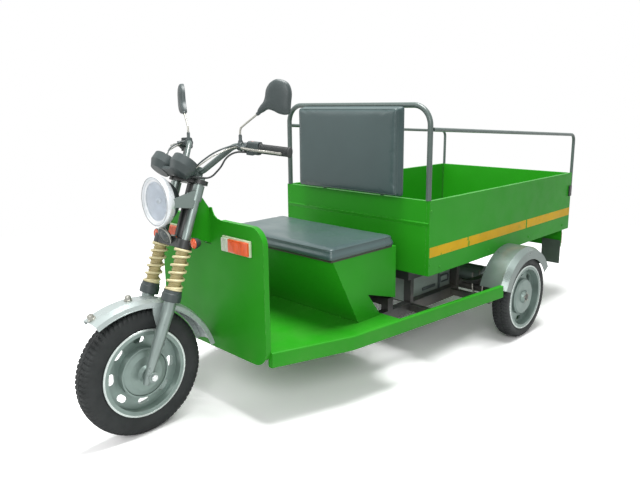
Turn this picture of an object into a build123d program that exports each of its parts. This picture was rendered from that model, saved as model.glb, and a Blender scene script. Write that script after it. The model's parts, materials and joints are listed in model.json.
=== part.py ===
from build123d import *
import os
from math import asin, cos, radians, sin

# Electric cargo rickshaw: one raked front wheel, two driven rear wheels on leaf springs,
# a rider's floor and bench in front of an open steel load box.
# Millimetres. +X is forward, +Y is the rider's left, +Z is up, and the ground is Z = 0.

# ---------------------------------------------------------------- driving dimensions
FRONT_AXLE_X = 1234.0        # front axle ahead of the middle of the vehicle
WHEELBASE = 1902.0
FRONT_TYRE_RADIUS = 246.0
REAR_TYRE_RADIUS = 218.0
TYRE_WIDTH = 88.0
REAR_WHEEL_Y = 559.0         # middle of a rear tyre
RIM_RADIUS = 169.0           # over the flanges of a 12 inch rim
RIM_WIDTH = 82.0
RAKE = 20.0                  # degrees, steering axis from the vertical

BOX_FRONT = 1190.0           # front face of the load box, behind the front axle
BOX_LENGTH = 1500.0
BOX_WIDTH = 940.0
BOX_BOTTOM = 454.0
BOX_TOP = 800.0
BOX_WALL = 18.0              # folded steel wall, over its top flange
BOX_FLOOR = 14.0
PANEL_BACK = BOX_FRONT + BOX_LENGTH - 66   # rear lamp panel under the load box

APRON_SETBACK = 330.0        # apron's front face behind the front axle
APRON_TOP = 787.0
APRON_BOTTOM = 246.0
APRON_WIDTH = 690.0
APRON_SHEET = 4.0
APRON_FLANGE = 24.0
FLOOR_TOP = 300.0
FLOOR_SHEET = 4.0
RAIL_HEIGHT = 62.0           # green side rail along floor and chassis
RAIL_THICKNESS = 25.0

SEAT_TOP = 655.0
SEAT_THICKNESS = 46.0
SEAT_DEPTH = 410.0
SEAT_WIDTH = 750.0
SEAT_BOX_CLEARANCE = 98.0    # from the bench box to the load box
SEAT_OVERHANG = 27.0         # bench box behind the cushion
SEAT_BOX_WIDTH = 720.0
SEAT_BOX_SHEET = 3.0

HOOP_TOP = 1219.0
HOOP_TUBE = 12.5             # tube radius
HAND_RAIL_TUBE = 9.0
HAND_RAIL_FRONT = 1114.0
HAND_RAIL_REAR = 1030.0
BACKREST_WIDTH = 650.0
BACKREST_BOTTOM = 806.0
BACKREST_THICKNESS = 55.0

CHASSIS_Y = 332.0            # middle of a longitudinal tube
CHASSIS_TUBE = 40.0
LOW_RAIL_BOTTOM = 244.0
LOW_RAIL_TOP = FLOOR_TOP - FLOOR_SHEET

FORK_Y = 78.0                # fork leg from the middle
FORK_OFFSET = 30.0           # legs ahead of the steering axis
STANCHION_RADIUS = 16.0
SLIDER_RADIUS = 24.0
HEAD_TUBE_RADIUS = 26.0
STEM_RADIUS = 15.0
RUNNING_FIT = 0.08           # radial gap of a shaft in its bore
SEAT_GAP = 0.3               # gap where one piece rests on another
PANEL_GAP = 6.0              # gap at the edges of a moving panel

HEADLAMP_RADIUS = 94.0
POD_RADIUS = 52.0
GRIP_RADIUS = 16.0
BAR_RADIUS = 11.0

# ---------------------------------------------------------------- derived places
REAR_AXLE_X = FRONT_AXLE_X - WHEELBASE
BOX_HALF = BOX_WIDTH / 2
APRON_X = FRONT_AXLE_X - APRON_SETBACK
LOAD_FLOOR_TOP = BOX_BOTTOM + BOX_FLOOR
SEAT_BOX_REAR = BOX_FRONT - SEAT_BOX_CLEARANCE
SEAT_SETBACK = SEAT_BOX_REAR - SEAT_OVERHANG - SEAT_DEPTH   # cushion's front edge
FRONT_AXLE = Vector(FRONT_AXLE_X, 0, FRONT_TYRE_RADIUS)
STEER_UP = Vector(-sin(radians(RAKE)), 0, cos(radians(RAKE)))
STEER_BACK = Vector(-cos(radians(RAKE)), 0, -sin(radians(RAKE)))
STEER_BASE = FRONT_AXLE + STEER_BACK * FORK_OFFSET

os.makedirs("parts", exist_ok=True)


def finish(part, name):
    part.label = name
    export_step(part, f"parts/{name}.step")


def steer_plane(height, across=0.0, back=0.0):
    """Plane square to the steering axis, height up the axis from the axle."""
    origin = STEER_BASE + STEER_UP * height + STEER_BACK * back + Vector(0, across, 0)
    return Plane(origin=origin, x_dir=(0, 1, 0), z_dir=STEER_UP)


def wheel_section(centre):
    """Plane through an axle: local x runs along the axle, local y up the radius."""
    return Plane(origin=centre, x_dir=(0, 1, 0), z_dir=(1, 0, 0))


def member(back0, back1, y0, y1, z0, z1):
    """Square-edged piece between two distances behind the front axle."""
    with BuildPart() as solid:
        with BuildSketch(Plane.XY.offset(z0)):
            with Locations((FRONT_AXLE_X - (back0 + back1) / 2, (y0 + y1) / 2)):
                Rectangle(abs(back1 - back0), abs(y1 - y0))
        extrude(amount=z1 - z0)
    return solid.part


def pipe(points, bends, radius):
    """Round tube along straight runs joined by tangent bends."""
    with BuildPart() as solid:
        with BuildLine() as path:
            if bends:
                FilletPolyline(*points, radius=bends)
            else:
                Polyline(*points)
        with BuildSketch(Plane(path.line @ 0, z_dir=path.line % 0)):
            Circle(radius)
        sweep(path=path.line)
    return solid.part


# ---------------------------------------------------------------- wheels
DRUM_RADIUS = 96.0
DRUM_WALL = 7.0
HUB_RADIUS = 30.0
WINDOW_COUNT = 8
AXLE_RADIUS = 8.0
SPINDLE_RADIUS = 15.0
BEAD_RADIUS = RIM_RADIUS - 15


def tyre(centre, radius):
    """Round-shouldered tyre, hollow over the rim's well."""
    half = TYRE_WIDTH / 2
    bead = RIM_WIDTH / 2 - 7 - SEAT_GAP
    with BuildPart() as solid:
        with BuildSketch(wheel_section(centre)):
            with BuildLine():
                crown = radius - BEAD_RADIUS
                foot = BEAD_RADIUS + SEAT_GAP
                lip = RIM_RADIUS + 1
                belly = BEAD_RADIUS + crown * 0.52
                shoulder = BEAD_RADIUS + crown * 0.90
                Polyline((-bead, lip), (-bead, foot), (bead, foot), (bead, lip))
                ThreePointArc((bead, lip), (half, belly), (half * 0.72, shoulder))
                ThreePointArc((half * 0.72, shoulder), (0, radius), (-half * 0.72, shoulder))
                ThreePointArc((-half * 0.72, shoulder), (-half, belly), (-bead, lip))
            make_face()
        revolve(axis=Axis(centre, (0, 1, 0)))
    return solid.part


def rim(centre, drum_side, bore):
    """Cast wheel: drop-centre barrel, windowed web and brake drum open to drum_side."""
    half = RIM_WIDTH / 2
    side = drum_side
    with BuildPart() as solid:
        with BuildSketch(wheel_section(centre)):
            with BuildLine():
                Polyline(
                    (-half, RIM_RADIUS), (-half + 5, RIM_RADIUS), (-half + 7, BEAD_RADIUS),
                    (half - 7, BEAD_RADIUS), (half - 5, RIM_RADIUS), (half, RIM_RADIUS),
                    (half - 1, BEAD_RADIUS - 6), (-half + 1, BEAD_RADIUS - 6), close=True,
                )
            make_face()
            with BuildLine():
                Polyline(
                    (side * -4, BEAD_RADIUS), (side * 6, BEAD_RADIUS),
                    (side * 2, DRUM_RADIUS - 2), (side * -7, DRUM_RADIUS - 2), close=True,
                )
            make_face()
            with BuildLine():
                Polyline(
                    (side * (half - 4), DRUM_RADIUS), (side * (half - 4), DRUM_RADIUS - DRUM_WALL),
                    (side * -22, DRUM_RADIUS - DRUM_WALL), (side * -22, HUB_RADIUS),
                    (side * 18, HUB_RADIUS), (side * 18, bore), (side * -44, bore),
                    (side * -44, HUB_RADIUS), (side * -31, HUB_RADIUS + 6),
                    (side * -31, DRUM_RADIUS - 8), (side * -23, DRUM_RADIUS), close=True,
                )
            make_face()
        revolve(axis=Axis(centre, (0, 1, 0)))
        with BuildSketch(Plane(origin=centre, x_dir=(1, 0, 0), z_dir=(0, 1, 0))):
            with PolarLocations((DRUM_RADIUS + BEAD_RADIUS) / 2 - 3, WINDOW_COUNT):
                SlotOverall(46, 26, rotation=90)
        extrude(amount=RIM_WIDTH, both=True, mode=Mode.SUBTRACT)
    return solid.part


front_centre = FRONT_AXLE
finish(tyre(front_centre, FRONT_TYRE_RADIUS), "front_tyre")
finish(rim(front_centre, 1, AXLE_RADIUS + RUNNING_FIT), "front_wheel")
for side, name in ((1, "left"), (-1, "right")):
    centre = Vector(REAR_AXLE_X, side * REAR_WHEEL_Y, REAR_TYRE_RADIUS)
    finish(tyre(centre, REAR_TYRE_RADIUS), f"rear_tyre_{name}")
    finish(rim(centre, -side, SPINDLE_RADIUS + RUNNING_FIT), f"rear_wheel_{name}")

# ---------------------------------------------------------------- front axle and brake
FORK_LUG = 18.0              # half the width of a fork end
FORK_END_Y = FORK_Y + FORK_LUG
AXLE_END = 9.0               # axle beyond the fork ends
with BuildPart() as front_axle:
    with BuildSketch(Plane.XZ.offset(-FORK_END_Y - AXLE_END)):
        with Locations((FRONT_AXLE.X, FRONT_AXLE.Z)):
            Circle(AXLE_RADIUS)
    extrude(amount=2 * (FORK_END_Y + AXLE_END))
    for end in (-1, 1):
        nut = Plane(origin=FRONT_AXLE + Vector(0, end * (FORK_END_Y + 0.3), 0), z_dir=(0, end, 0))
        with BuildSketch(nut):
            RegularPolygon(13, 6)
        extrude(amount=AXLE_END - 2)
finish(front_axle.part, "front_axle")

BRAKE_PLATE_RADIUS = DRUM_RADIUS - DRUM_WALL - 1.5
with BuildPart() as brake_plate:
    with BuildSketch(wheel_section(FRONT_AXLE)):
        with BuildLine():
            Polyline(
                (24, AXLE_RADIUS + SEAT_GAP), (24, BRAKE_PLATE_RADIUS), (34, BRAKE_PLATE_RADIUS),
                (42, BRAKE_PLATE_RADIUS - 22), (42, 34), (56, 26), (56, AXLE_RADIUS + SEAT_GAP),
                close=True,
            )
        make_face()
    revolve(axis=Axis(FRONT_AXLE, (0, 1, 0)))
finish(brake_plate.part, "front_brake_plate")

# ---------------------------------------------------------------- fork
CROWN_LOW = 519.0            # top of the lower clamp, up the axis
CROWN_HIGH = 750.0
CROWN_PLATE = 16.0           # thickness of the upper clamp
SLIDER_TOP = 284.0           # underside of the collar
SLIDER_LIP = 12.0            # slider inside the collar
SPRING_BOTTOM = 326.0
LEG_TIP = -32.0              # foot of the slider, below the axle
LEG_LEAD = 14.0              # foot of the slider ahead of the stanchion's line
COLLAR_RADIUS = 37.0
CROWN_THICK = 34.0
SPRING_TOP = CROWN_LOW - CROWN_THICK


def leg_plane(height, side, lead=0.0):
    """Plane square to a fork leg, centred on it or lead ahead of it."""
    return steer_plane(height, side * FORK_Y, -FORK_OFFSET - lead)


def leg_section(side):
    """Plane through a fork leg's line: local x runs across, local y up the leg."""
    return Plane(origin=leg_plane(0, side).origin, x_dir=(0, 1, 0), z_dir=-STEER_BACK)


with BuildPart() as fork_legs:
    for side in (-1, 1):
        with BuildSketch(leg_plane(LEG_TIP, side, LEG_LEAD)):
            Circle(SLIDER_RADIUS / 2)
        with BuildSketch(leg_plane(SLIDER_TOP / 5, side, LEG_LEAD * 0.8)):
            Circle(SLIDER_RADIUS * 0.75)
        with BuildSketch(leg_plane(SLIDER_TOP - 40, side)):
            Circle(SLIDER_RADIUS)
        loft()
        with BuildSketch(leg_plane(SLIDER_TOP - 40, side)):
            Circle(SLIDER_RADIUS)
        extrude(amount=40 + SLIDER_LIP)
        with BuildSketch(leg_plane(SLIDER_TOP + SLIDER_LIP, side)):
            Circle(STANCHION_RADIUS)
        extrude(amount=CROWN_HIGH + 12 - SLIDER_TOP - SLIDER_LIP)
        with BuildSketch(Plane.XZ.offset(-side * FORK_Y - FORK_LUG)):
            with Locations((FRONT_AXLE.X, FRONT_AXLE.Z)):
                Circle(20)
        extrude(amount=2 * FORK_LUG)
    with BuildSketch(Plane.XZ.offset(-FORK_END_Y - 30)):
        with Locations((FRONT_AXLE.X, FRONT_AXLE.Z)):
            Circle(AXLE_RADIUS + SEAT_GAP)
    extrude(amount=2 * (FORK_END_Y + 30), mode=Mode.SUBTRACT)
finish(fork_legs.part, "fork_legs")

with BuildPart() as fork_collars:
    for side in (-1, 1):
        with BuildSketch(leg_section(side)):
            with BuildLine():
                lip = SLIDER_TOP + SLIDER_LIP + SEAT_GAP
                Polyline(
                    (SLIDER_RADIUS + SEAT_GAP, SLIDER_TOP), (COLLAR_RADIUS - 2, SLIDER_TOP),
                    (COLLAR_RADIUS, SLIDER_TOP + 2), (COLLAR_RADIUS, SPRING_BOTTOM - 14),
                    (COLLAR_RADIUS - 3, SPRING_BOTTOM - 10), (COLLAR_RADIUS - 3, SPRING_BOTTOM),
                    (STANCHION_RADIUS + SEAT_GAP, SPRING_BOTTOM), (STANCHION_RADIUS + SEAT_GAP, lip),
                    (SLIDER_RADIUS + SEAT_GAP, lip), close=True,
                )
            make_face()
        revolve(axis=Axis(leg_plane(0, side).origin, STEER_UP))
finish(fork_collars.part, "fork_collars")

SPRING_RADIUS = 29.0         # middle of the wire
SPRING_WIRE = 4.6            # wire radius
SPRING_TURNS = 5
with BuildPart() as fork_springs:
    low = SPRING_BOTTOM + SEAT_GAP + SPRING_WIRE
    high = SPRING_TOP - SEAT_GAP - SPRING_WIRE
    for side in (-1, 1):
        with BuildLine() as coil:
            pitch = (high - low) / SPRING_TURNS
            Helix(pitch, high - low, SPRING_RADIUS, leg_plane(low, side).origin, STEER_UP)
        with BuildSketch(Plane(coil.line @ 0, z_dir=coil.line % 0)):
            RegularPolygon(SPRING_WIRE, 6)
        sweep(path=coil.line, is_frenet=True)
        for height in (low, high):
            with BuildSketch(leg_section(side)):
                with Locations((SPRING_RADIUS, height)):
                    RegularPolygon(SPRING_WIRE, 6)
            revolve(axis=Axis(leg_plane(0, side).origin, STEER_UP))
finish(fork_springs.part, "fork_springs")

STEM_BOTTOM = CROWN_LOW - 30
with BuildPart() as fork_crown:
    for height, thick in ((CROWN_LOW, CROWN_THICK), (CROWN_HIGH, CROWN_PLATE)):
        with BuildSketch(steer_plane(height - thick)):
            for side in (-1, 1):
                with Locations((side * FORK_Y, -FORK_OFFSET)):
                    Circle(STANCHION_RADIUS + 14)
            with Locations((0, 0)):
                Circle(HEAD_TUBE_RADIUS + 6)
            with BuildLine():
                Polyline(
                    (-FORK_Y, -FORK_OFFSET - 26), (FORK_Y, -FORK_OFFSET - 26),
                    (FORK_Y, 20 - FORK_OFFSET), (20, 24), (-20, 24), (-FORK_Y, 20 - FORK_OFFSET),
                    close=True,
                )
            make_face()
        extrude(amount=thick)
    with BuildSketch(steer_plane(STEM_BOTTOM)):
        Circle(STEM_RADIUS)
    extrude(amount=CROWN_HIGH + 16 - STEM_BOTTOM)
    with BuildSketch(steer_plane(STEM_BOTTOM - 40)):
        for side in (-1, 1):
            with Locations((side * FORK_Y, -FORK_OFFSET)):
                Circle(STANCHION_RADIUS + SEAT_GAP)
    extrude(amount=CROWN_HIGH + 100 - STEM_BOTTOM, mode=Mode.SUBTRACT)
finish(fork_crown.part, "fork_crown")

# ---------------------------------------------------------------- front mudguard
GUARD_RADIUS = FRONT_TYRE_RADIUS + 102
GUARD_CENTRE = FRONT_AXLE + Vector(18, 0, -65)
GUARD_HALF = 52.0
GUARD_SHEET = 3.0
GUARD_SKIRT = 28.0
GUARD_FRONT_ANGLE = 61.0
GUARD_REAR_ANGLE = 163.0


def radial_plane(centre, angle):
    """Plane through an axle: local x along the axle, local y out at angle above the front."""
    turn = radians(angle)
    return Plane(origin=centre, x_dir=(0, 1, 0), z_dir=(sin(turn), 0, -cos(turn)))


def guard_profile(half, radius, skirt, sheet):
    """Flat crown, sloped shoulders and side skirts of a pressed mudguard."""
    outer = [(half, radius - skirt), (half, radius - 10), (half - 24, radius)]
    inner = [(half - sheet, radius - skirt), (half - sheet, radius - 11), (half - 25, radius - sheet)]
    ring = outer[::1] + [(-x, y) for x, y in outer[::-1]]
    back = [(-x, y) for x, y in inner] + inner[::-1]
    Polyline(*ring, *back, close=True)


with BuildPart() as front_mudguard:
    with BuildSketch(radial_plane(GUARD_CENTRE, GUARD_FRONT_ANGLE)):
        with BuildLine():
            guard_profile(GUARD_HALF, GUARD_RADIUS, GUARD_SKIRT, GUARD_SHEET)
        make_face()
    revolve(axis=Axis(GUARD_CENTRE, (0, -1, 0)), revolution_arc=GUARD_REAR_ANGLE - GUARD_FRONT_ANGLE)
    for side in (-1, 1):
        stay_top, stay_foot = SLIDER_TOP - 20, SLIDER_TOP - 100
        stay_face = side * GUARD_HALF + (GUARD_SHEET if side < 0 else 0)
        with BuildSketch(Plane.XZ.offset(-stay_face)):
            with BuildLine():
                corners = (
                    leg_plane(stay_top, 0, -12).origin, leg_plane(stay_top, 0, 56).origin,
                    leg_plane(stay_top - 40, 0, 40).origin, leg_plane(stay_foot, 0, 16).origin,
                    leg_plane(stay_foot, 0, -12).origin,
                )
                Polyline(*[(corner.X, corner.Z) for corner in corners], close=True)
            make_face()
        extrude(amount=GUARD_SHEET)
        bolt = leg_plane(SLIDER_TOP - 34, 0).origin
        with BuildSketch(Plane(origin=(bolt.X, side * (GUARD_HALF - 1), bolt.Z), z_dir=(0, side, 0))):
            Circle(9)
        extrude(amount=FORK_Y - SLIDER_RADIUS - GUARD_HALF + 1 - SEAT_GAP)
finish(front_mudguard.part, "front_mudguard")

# ---------------------------------------------------------------- headlamp
LAMP_FACE_X = FRONT_AXLE_X - 106
LAMP_Z = 879.0
LAMP_DEPTH = 88.0
LENS_BULGE = 8.0
BEZEL_DEPTH = 14.0
BOWL_STEP = 7.0              # bowl inside the bezel
LENS_SEAT = 22.0             # from the face back to the lens seat
lamp_axis = Axis((0, 0, LAMP_Z), (1, 0, 0))
with BuildPart() as headlamp_shell:
    with BuildSketch(Plane.XZ):
        with BuildLine():
            back = LAMP_FACE_X - LAMP_DEPTH
            bowl = LAMP_Z + HEADLAMP_RADIUS - BOWL_STEP
            Polyline(
                (LAMP_FACE_X, LAMP_Z + HEADLAMP_RADIUS - 8), (LAMP_FACE_X + 5, LAMP_Z + HEADLAMP_RADIUS - 4),
                (LAMP_FACE_X - 3, LAMP_Z + HEADLAMP_RADIUS), (LAMP_FACE_X - BEZEL_DEPTH, bowl + 5),
                (LAMP_FACE_X - BEZEL_DEPTH, bowl),
            )
            ThreePointArc(
                (LAMP_FACE_X - BEZEL_DEPTH, bowl),
                (back + 18, LAMP_Z + HEADLAMP_RADIUS * 0.6),
                (back, LAMP_Z + 20),
            )
            Polyline((back, LAMP_Z + 20), (back, LAMP_Z), (LAMP_FACE_X - LENS_SEAT, LAMP_Z))
            Polyline(
                (LAMP_FACE_X - LENS_SEAT, LAMP_Z), (LAMP_FACE_X - LENS_SEAT, LAMP_Z + HEADLAMP_RADIUS - 12),
                (LAMP_FACE_X, LAMP_Z + HEADLAMP_RADIUS - 12), (LAMP_FACE_X, LAMP_Z + HEADLAMP_RADIUS - 8),
            )
        make_face()
    revolve(axis=lamp_axis)
finish(headlamp_shell.part, "headlamp_shell")

with BuildPart() as headlamp_lens:
    with BuildSketch(Plane.XZ):
        with BuildLine():
            edge = LAMP_Z + HEADLAMP_RADIUS - 12 - SEAT_GAP
            seat = LAMP_FACE_X - LENS_SEAT
            Polyline((LAMP_FACE_X + LENS_BULGE, LAMP_Z), (seat, LAMP_Z), (seat, edge), (LAMP_FACE_X, edge))
            dome_radius = ((edge - LAMP_Z) ** 2 + LENS_BULGE ** 2) / (2 * LENS_BULGE)
            half_way = asin((edge - LAMP_Z) / dome_radius) / 2
            dome_centre = LAMP_FACE_X + LENS_BULGE - dome_radius
            ThreePointArc(
                (LAMP_FACE_X, edge),
                (dome_centre + dome_radius * cos(half_way), LAMP_Z + dome_radius * sin(half_way)),
                (LAMP_FACE_X + LENS_BULGE, LAMP_Z),
            )
        make_face()
    revolve(axis=lamp_axis)
finish(headlamp_lens.part, "headlamp_lens")

EAR_HEIGHT = 60.0
EAR_FOOT = CROWN_HIGH - CROWN_PLATE - EAR_HEIGHT - 4   # clamp ring below the upper clamp
EAR_INNER = HEADLAMP_RADIUS - BOWL_STEP + SEAT_GAP
EAR_SHEET = 4.0
ear_front = LAMP_FACE_X - BEZEL_DEPTH - SEAT_GAP
ear_x = leg_plane((LAMP_Z - FRONT_TYRE_RADIUS) / cos(radians(RAKE)), 0).origin.X
with BuildPart() as headlamp_bracket:
    for side in (-1, 1):
        with BuildSketch(leg_plane(EAR_FOOT, side)):
            Circle(STANCHION_RADIUS + 5)
            Circle(STANCHION_RADIUS + SEAT_GAP, mode=Mode.SUBTRACT)
        extrude(amount=EAR_HEIGHT)
        with BuildSketch(Plane.XZ.offset(-side * EAR_INNER - (EAR_SHEET if side > 0 else 0))):
            with BuildLine():
                Polyline(
                    (ear_front, LAMP_Z - 14), (ear_front, LAMP_Z + 14),
                    (ear_x + 16, LAMP_Z + 38), (ear_x - 14, LAMP_Z + 38),
                    (ear_x + 6, LAMP_Z - 28), (ear_x + 26, LAMP_Z - 28), close=True,
                )
            make_face()
        extrude(amount=EAR_SHEET)
        with BuildSketch(leg_plane(CROWN_LOW + 60, side)):
            Circle(STANCHION_RADIUS + SEAT_GAP)
        extrude(amount=200, mode=Mode.SUBTRACT)
finish(headlamp_bracket.part, "headlamp_bracket")

# ---------------------------------------------------------------- handlebar and what it carries
BAR_CLAMP_RISE = 31.0
BAR_FORWARD = 22.0
BAR_REACH = 350.0
BAR_BEND_Y = 150.0
BAR_RISE = 100.0
BAR_PULLBACK = 92.0
GRIP_PULLBACK = 98.0
GRIP_LENGTH = 122.0
bar_centre = steer_plane(CROWN_HIGH + BAR_CLAMP_RISE, 0, -BAR_FORWARD).origin


def bar_point(back, across, rise):
    return bar_centre + Vector(-back, across, rise)


def bar_path(side):
    return [
        bar_point(BAR_PULLBACK + GRIP_PULLBACK, side * BAR_REACH, BAR_RISE - 22),
        bar_point(BAR_PULLBACK, side * BAR_BEND_Y, BAR_RISE),
        bar_point(0, side * 60, 0),
    ]


bar_route = bar_path(1) + bar_path(-1)[::-1]
with BuildPart() as handlebar:
    with BuildLine() as bar_line:
        FilletPolyline(*bar_route, radius=[45, 38, 38, 45])
    with BuildSketch(Plane(bar_line.line @ 0, z_dir=bar_line.line % 0)):
        Circle(BAR_RADIUS)
    sweep(path=bar_line.line)
    for side in (-1, 1):
        with BuildSketch(steer_plane(CROWN_HIGH, side * 42, -BAR_FORWARD)):
            RectangleRounded(26, 30, 5)
        extrude(amount=BAR_CLAMP_RISE + BAR_RADIUS + 8)
finish(handlebar.part, "handlebar")


def along_grip(side, distance):
    """Point on the straight end of the bar, distance in from its tip."""
    end = bar_path(side)[0]
    inward = (bar_path(side)[1] - end).normalized()
    return end + inward * distance, inward


with BuildPart() as grips:
    for side in (-1, 1):
        start, inward = along_grip(side, -4)
        with BuildSketch(Plane(origin=start, z_dir=inward)):
            Circle(GRIP_RADIUS + 4)
        extrude(amount=8)
        with BuildSketch(Plane(origin=start, z_dir=inward)):
            Circle(GRIP_RADIUS)
        extrude(amount=GRIP_LENGTH)
        start, inward = along_grip(side, 0)
        with BuildSketch(Plane(origin=start, z_dir=inward)):
            Circle(BAR_RADIUS + SEAT_GAP)
        extrude(amount=GRIP_LENGTH * 2, mode=Mode.SUBTRACT)
finish(grips.part, "handlebar_grips")

HOUSING_LENGTH = 44.0
with BuildPart() as hand_controls:
    for side in (-1, 1):
        start, inward = along_grip(side, GRIP_LENGTH - 3)
        housing = Plane(origin=start, x_dir=(0, 0, 1), z_dir=inward)
        with BuildSketch(housing):
            RectangleRounded(48, 40, 10)
        extrude(amount=HOUSING_LENGTH)
        with BuildSketch(housing):
            Circle(BAR_RADIUS + SEAT_GAP)
        extrude(amount=HOUSING_LENGTH * 2, both=True, mode=Mode.SUBTRACT)
finish(hand_controls.part, "hand_controls")

MIRROR_WIDTH = 108.0
MIRROR_HEIGHT = 124.0
MIRROR_THICKNESS = 24.0
MIRROR_YAW = 27.0
MIRROR_STEM = 4.5
MIRROR_FOOT = GRIP_LENGTH + HOUSING_LENGTH + 24   # in from the tip of the bar
MIRROR_BEAK = (MIRROR_WIDTH * 0.72, MIRROR_HEIGHT * 0.47)   # stem's socket from the head's middle
with BuildPart() as mirrors:
    for side in (-1, 1):
        foot, inward = along_grip(side, MIRROR_FOOT)
        with BuildSketch(Plane(origin=foot, z_dir=inward)):
            Circle(BAR_RADIUS + 6)
            Circle(BAR_RADIUS + SEAT_GAP, mode=Mode.SUBTRACT)
        extrude(amount=16)
        base = foot + inward * 8 + Vector(0, 0, BAR_RADIUS + 3)
        bend = base + Vector(0, 0, 52)
        tail = bend + Vector(-32, side * 72, 56)
        stem_end = tail + (tail - bend).normalized() * 12
        with BuildLine() as stem:
            FilletPolyline(base, bend, stem_end, radius=[14])
        with BuildSketch(Plane(stem.line @ 0, z_dir=stem.line % 0)):
            Circle(MIRROR_STEM)
        sweep(path=stem.line)
        face = Vector(-cos(radians(MIRROR_YAW)), -side * sin(radians(MIRROR_YAW)), 0)
        across = Vector(-face.Y, face.X, 0)
        beak_x, beak_z = side * MIRROR_BEAK[0], -MIRROR_BEAK[1]
        centre = tail - across * beak_x - Vector(0, 0, beak_z) - face * (MIRROR_THICKNESS / 2)
        with BuildSketch(Plane(origin=centre, x_dir=across, z_dir=face)):
            Ellipse(MIRROR_WIDTH / 2, MIRROR_HEIGHT / 2)
            with BuildLine():
                Polyline(
                    (beak_x * 1.06, beak_z * 1.12), (beak_x * 1.06, beak_z * 0.82),
                    (beak_x * 0.62, beak_z * 0.24), (0, 0), (beak_x * 0.3, beak_z * 1.02), close=True,
                )
            make_face()
        extrude(amount=MIRROR_THICKNESS)
finish(mirrors.part, "mirrors")

# ---------------------------------------------------------------- instrument pods, indicators
POD_Y = 66.0
POD_DEPTH = 56.0
POD_TILT = 42.0
POD_PLATE = 20.0            # half the length of the plate that joins the pods
POD_GUSSET = 4.0             # webs that carry the plate on the upper fork clamp
POD_GUSSET_Y = 22.0
pod_up = Vector(-sin(radians(POD_TILT)), 0, cos(radians(POD_TILT)))
pod_out = Vector(-cos(radians(POD_TILT)), 0, -sin(radians(POD_TILT)))
pod_base = bar_centre + Vector(104, 0, 5)
with BuildPart() as instrument_pods:
    for side in (-1, 1):
        origin = pod_base + Vector(0, side * POD_Y, 0)
        with BuildSketch(Plane(origin=origin, x_dir=(0, 1, 0), z_dir=pod_up)):
            Circle(POD_RADIUS * 0.72)
        with BuildSketch(Plane(origin=origin + pod_up * 26, x_dir=(0, 1, 0), z_dir=pod_up)):
            Circle(POD_RADIUS)
        loft()
        with BuildSketch(Plane(origin=origin + pod_up * 26, x_dir=(0, 1, 0), z_dir=pod_up)):
            Circle(POD_RADIUS)
        extrude(amount=POD_DEPTH - 26)
    with BuildSketch(Plane(origin=pod_base + pod_up * 2, x_dir=(0, 1, 0), z_dir=pod_up)):
        Rectangle(POD_Y * 2, 2 * POD_PLATE)
    extrude(amount=12)
    for side in (-1, 1):
        with BuildSketch(Plane.XZ.offset(-side * POD_GUSSET_Y - POD_GUSSET / 2)):
            with BuildLine():
                plate_back = pod_base + pod_out * (POD_PLATE - 1)
                corners = (
                    steer_plane(CROWN_HIGH + SEAT_GAP, 0, 14 - FORK_OFFSET).origin,
                    steer_plane(CROWN_HIGH + SEAT_GAP, 0, -FORK_OFFSET - 24).origin,
                    plate_back + pod_up * 3,
                    plate_back + pod_up * 13,
                    steer_plane(CROWN_HIGH + 14, 0, -FORK_OFFSET).origin,
                )
                Polyline(*[(corner.X, corner.Z) for corner in corners], close=True)
            make_face()
        extrude(amount=POD_GUSSET)
finish(instrument_pods.part, "instrument_pods")

with BuildPart() as front_indicators:
    for side in (-1, 1):
        clamp_side = leg_plane(CROWN_LOW - CROWN_THICK / 2, side).origin + Vector(-8, 0, 6)
        origin = clamp_side + Vector(-22, side * (STANCHION_RADIUS + 36), 4)
        with BuildSketch(Plane(origin=clamp_side + Vector(0, side * 30.3, 0), z_dir=(0, side, 0))):
            Circle(7)
        extrude(amount=20)
        with BuildSketch(Plane(origin=origin, z_dir=(1, 0, 0))):
            Circle(16)
        with BuildSketch(Plane(origin=origin + Vector(22, 0, 0), z_dir=(1, 0, 0))):
            Circle(21)
        loft()
        with BuildSketch(Plane(origin=origin + Vector(22, 0, 0), z_dir=(1, 0, 0))):
            Circle(21)
        extrude(amount=10)
finish(front_indicators.part, "front_indicators")

# ---------------------------------------------------------------- front pillar and apron
head_low = CROWN_LOW + 3
head_high = CROWN_HIGH - CROWN_PLATE - 3
PILLAR_DEPTH = 46.0
PILLAR_WIDTH = 40.0
pillar_x = APRON_X - APRON_SHEET - SEAT_GAP
pillar_rear = FRONT_AXLE_X - pillar_x + PILLAR_DEPTH
with BuildPart() as head_tube:
    with BuildSketch(steer_plane(head_low)):
        Circle(HEAD_TUBE_RADIUS)
        Circle(STEM_RADIUS + RUNNING_FIT, mode=Mode.SUBTRACT)
    extrude(amount=head_high - head_low)
finish(head_tube.part, "head_tube")

with BuildPart() as front_pillar:
    with BuildSketch(Plane.XZ.offset(-PILLAR_WIDTH / 2)):
        with BuildLine():
            low_point = steer_plane(head_low).origin
            high_point = steer_plane(head_high - 20).origin
            Polyline(
                (low_point.X - 8, low_point.Z + 10), (high_point.X - 8, high_point.Z),
                (pillar_x - PILLAR_DEPTH, APRON_TOP - 30), (pillar_x - PILLAR_DEPTH, LOW_RAIL_BOTTOM),
                (pillar_x, LOW_RAIL_BOTTOM), (pillar_x, low_point.Z - 40), close=True,
            )
        make_face()
    extrude(amount=PILLAR_WIDTH)
    with BuildSketch(steer_plane(head_low)):
        Circle(HEAD_TUBE_RADIUS + SEAT_GAP)
    extrude(amount=head_high - head_low, mode=Mode.SUBTRACT)
finish(front_pillar.part, "front_pillar")

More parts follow.
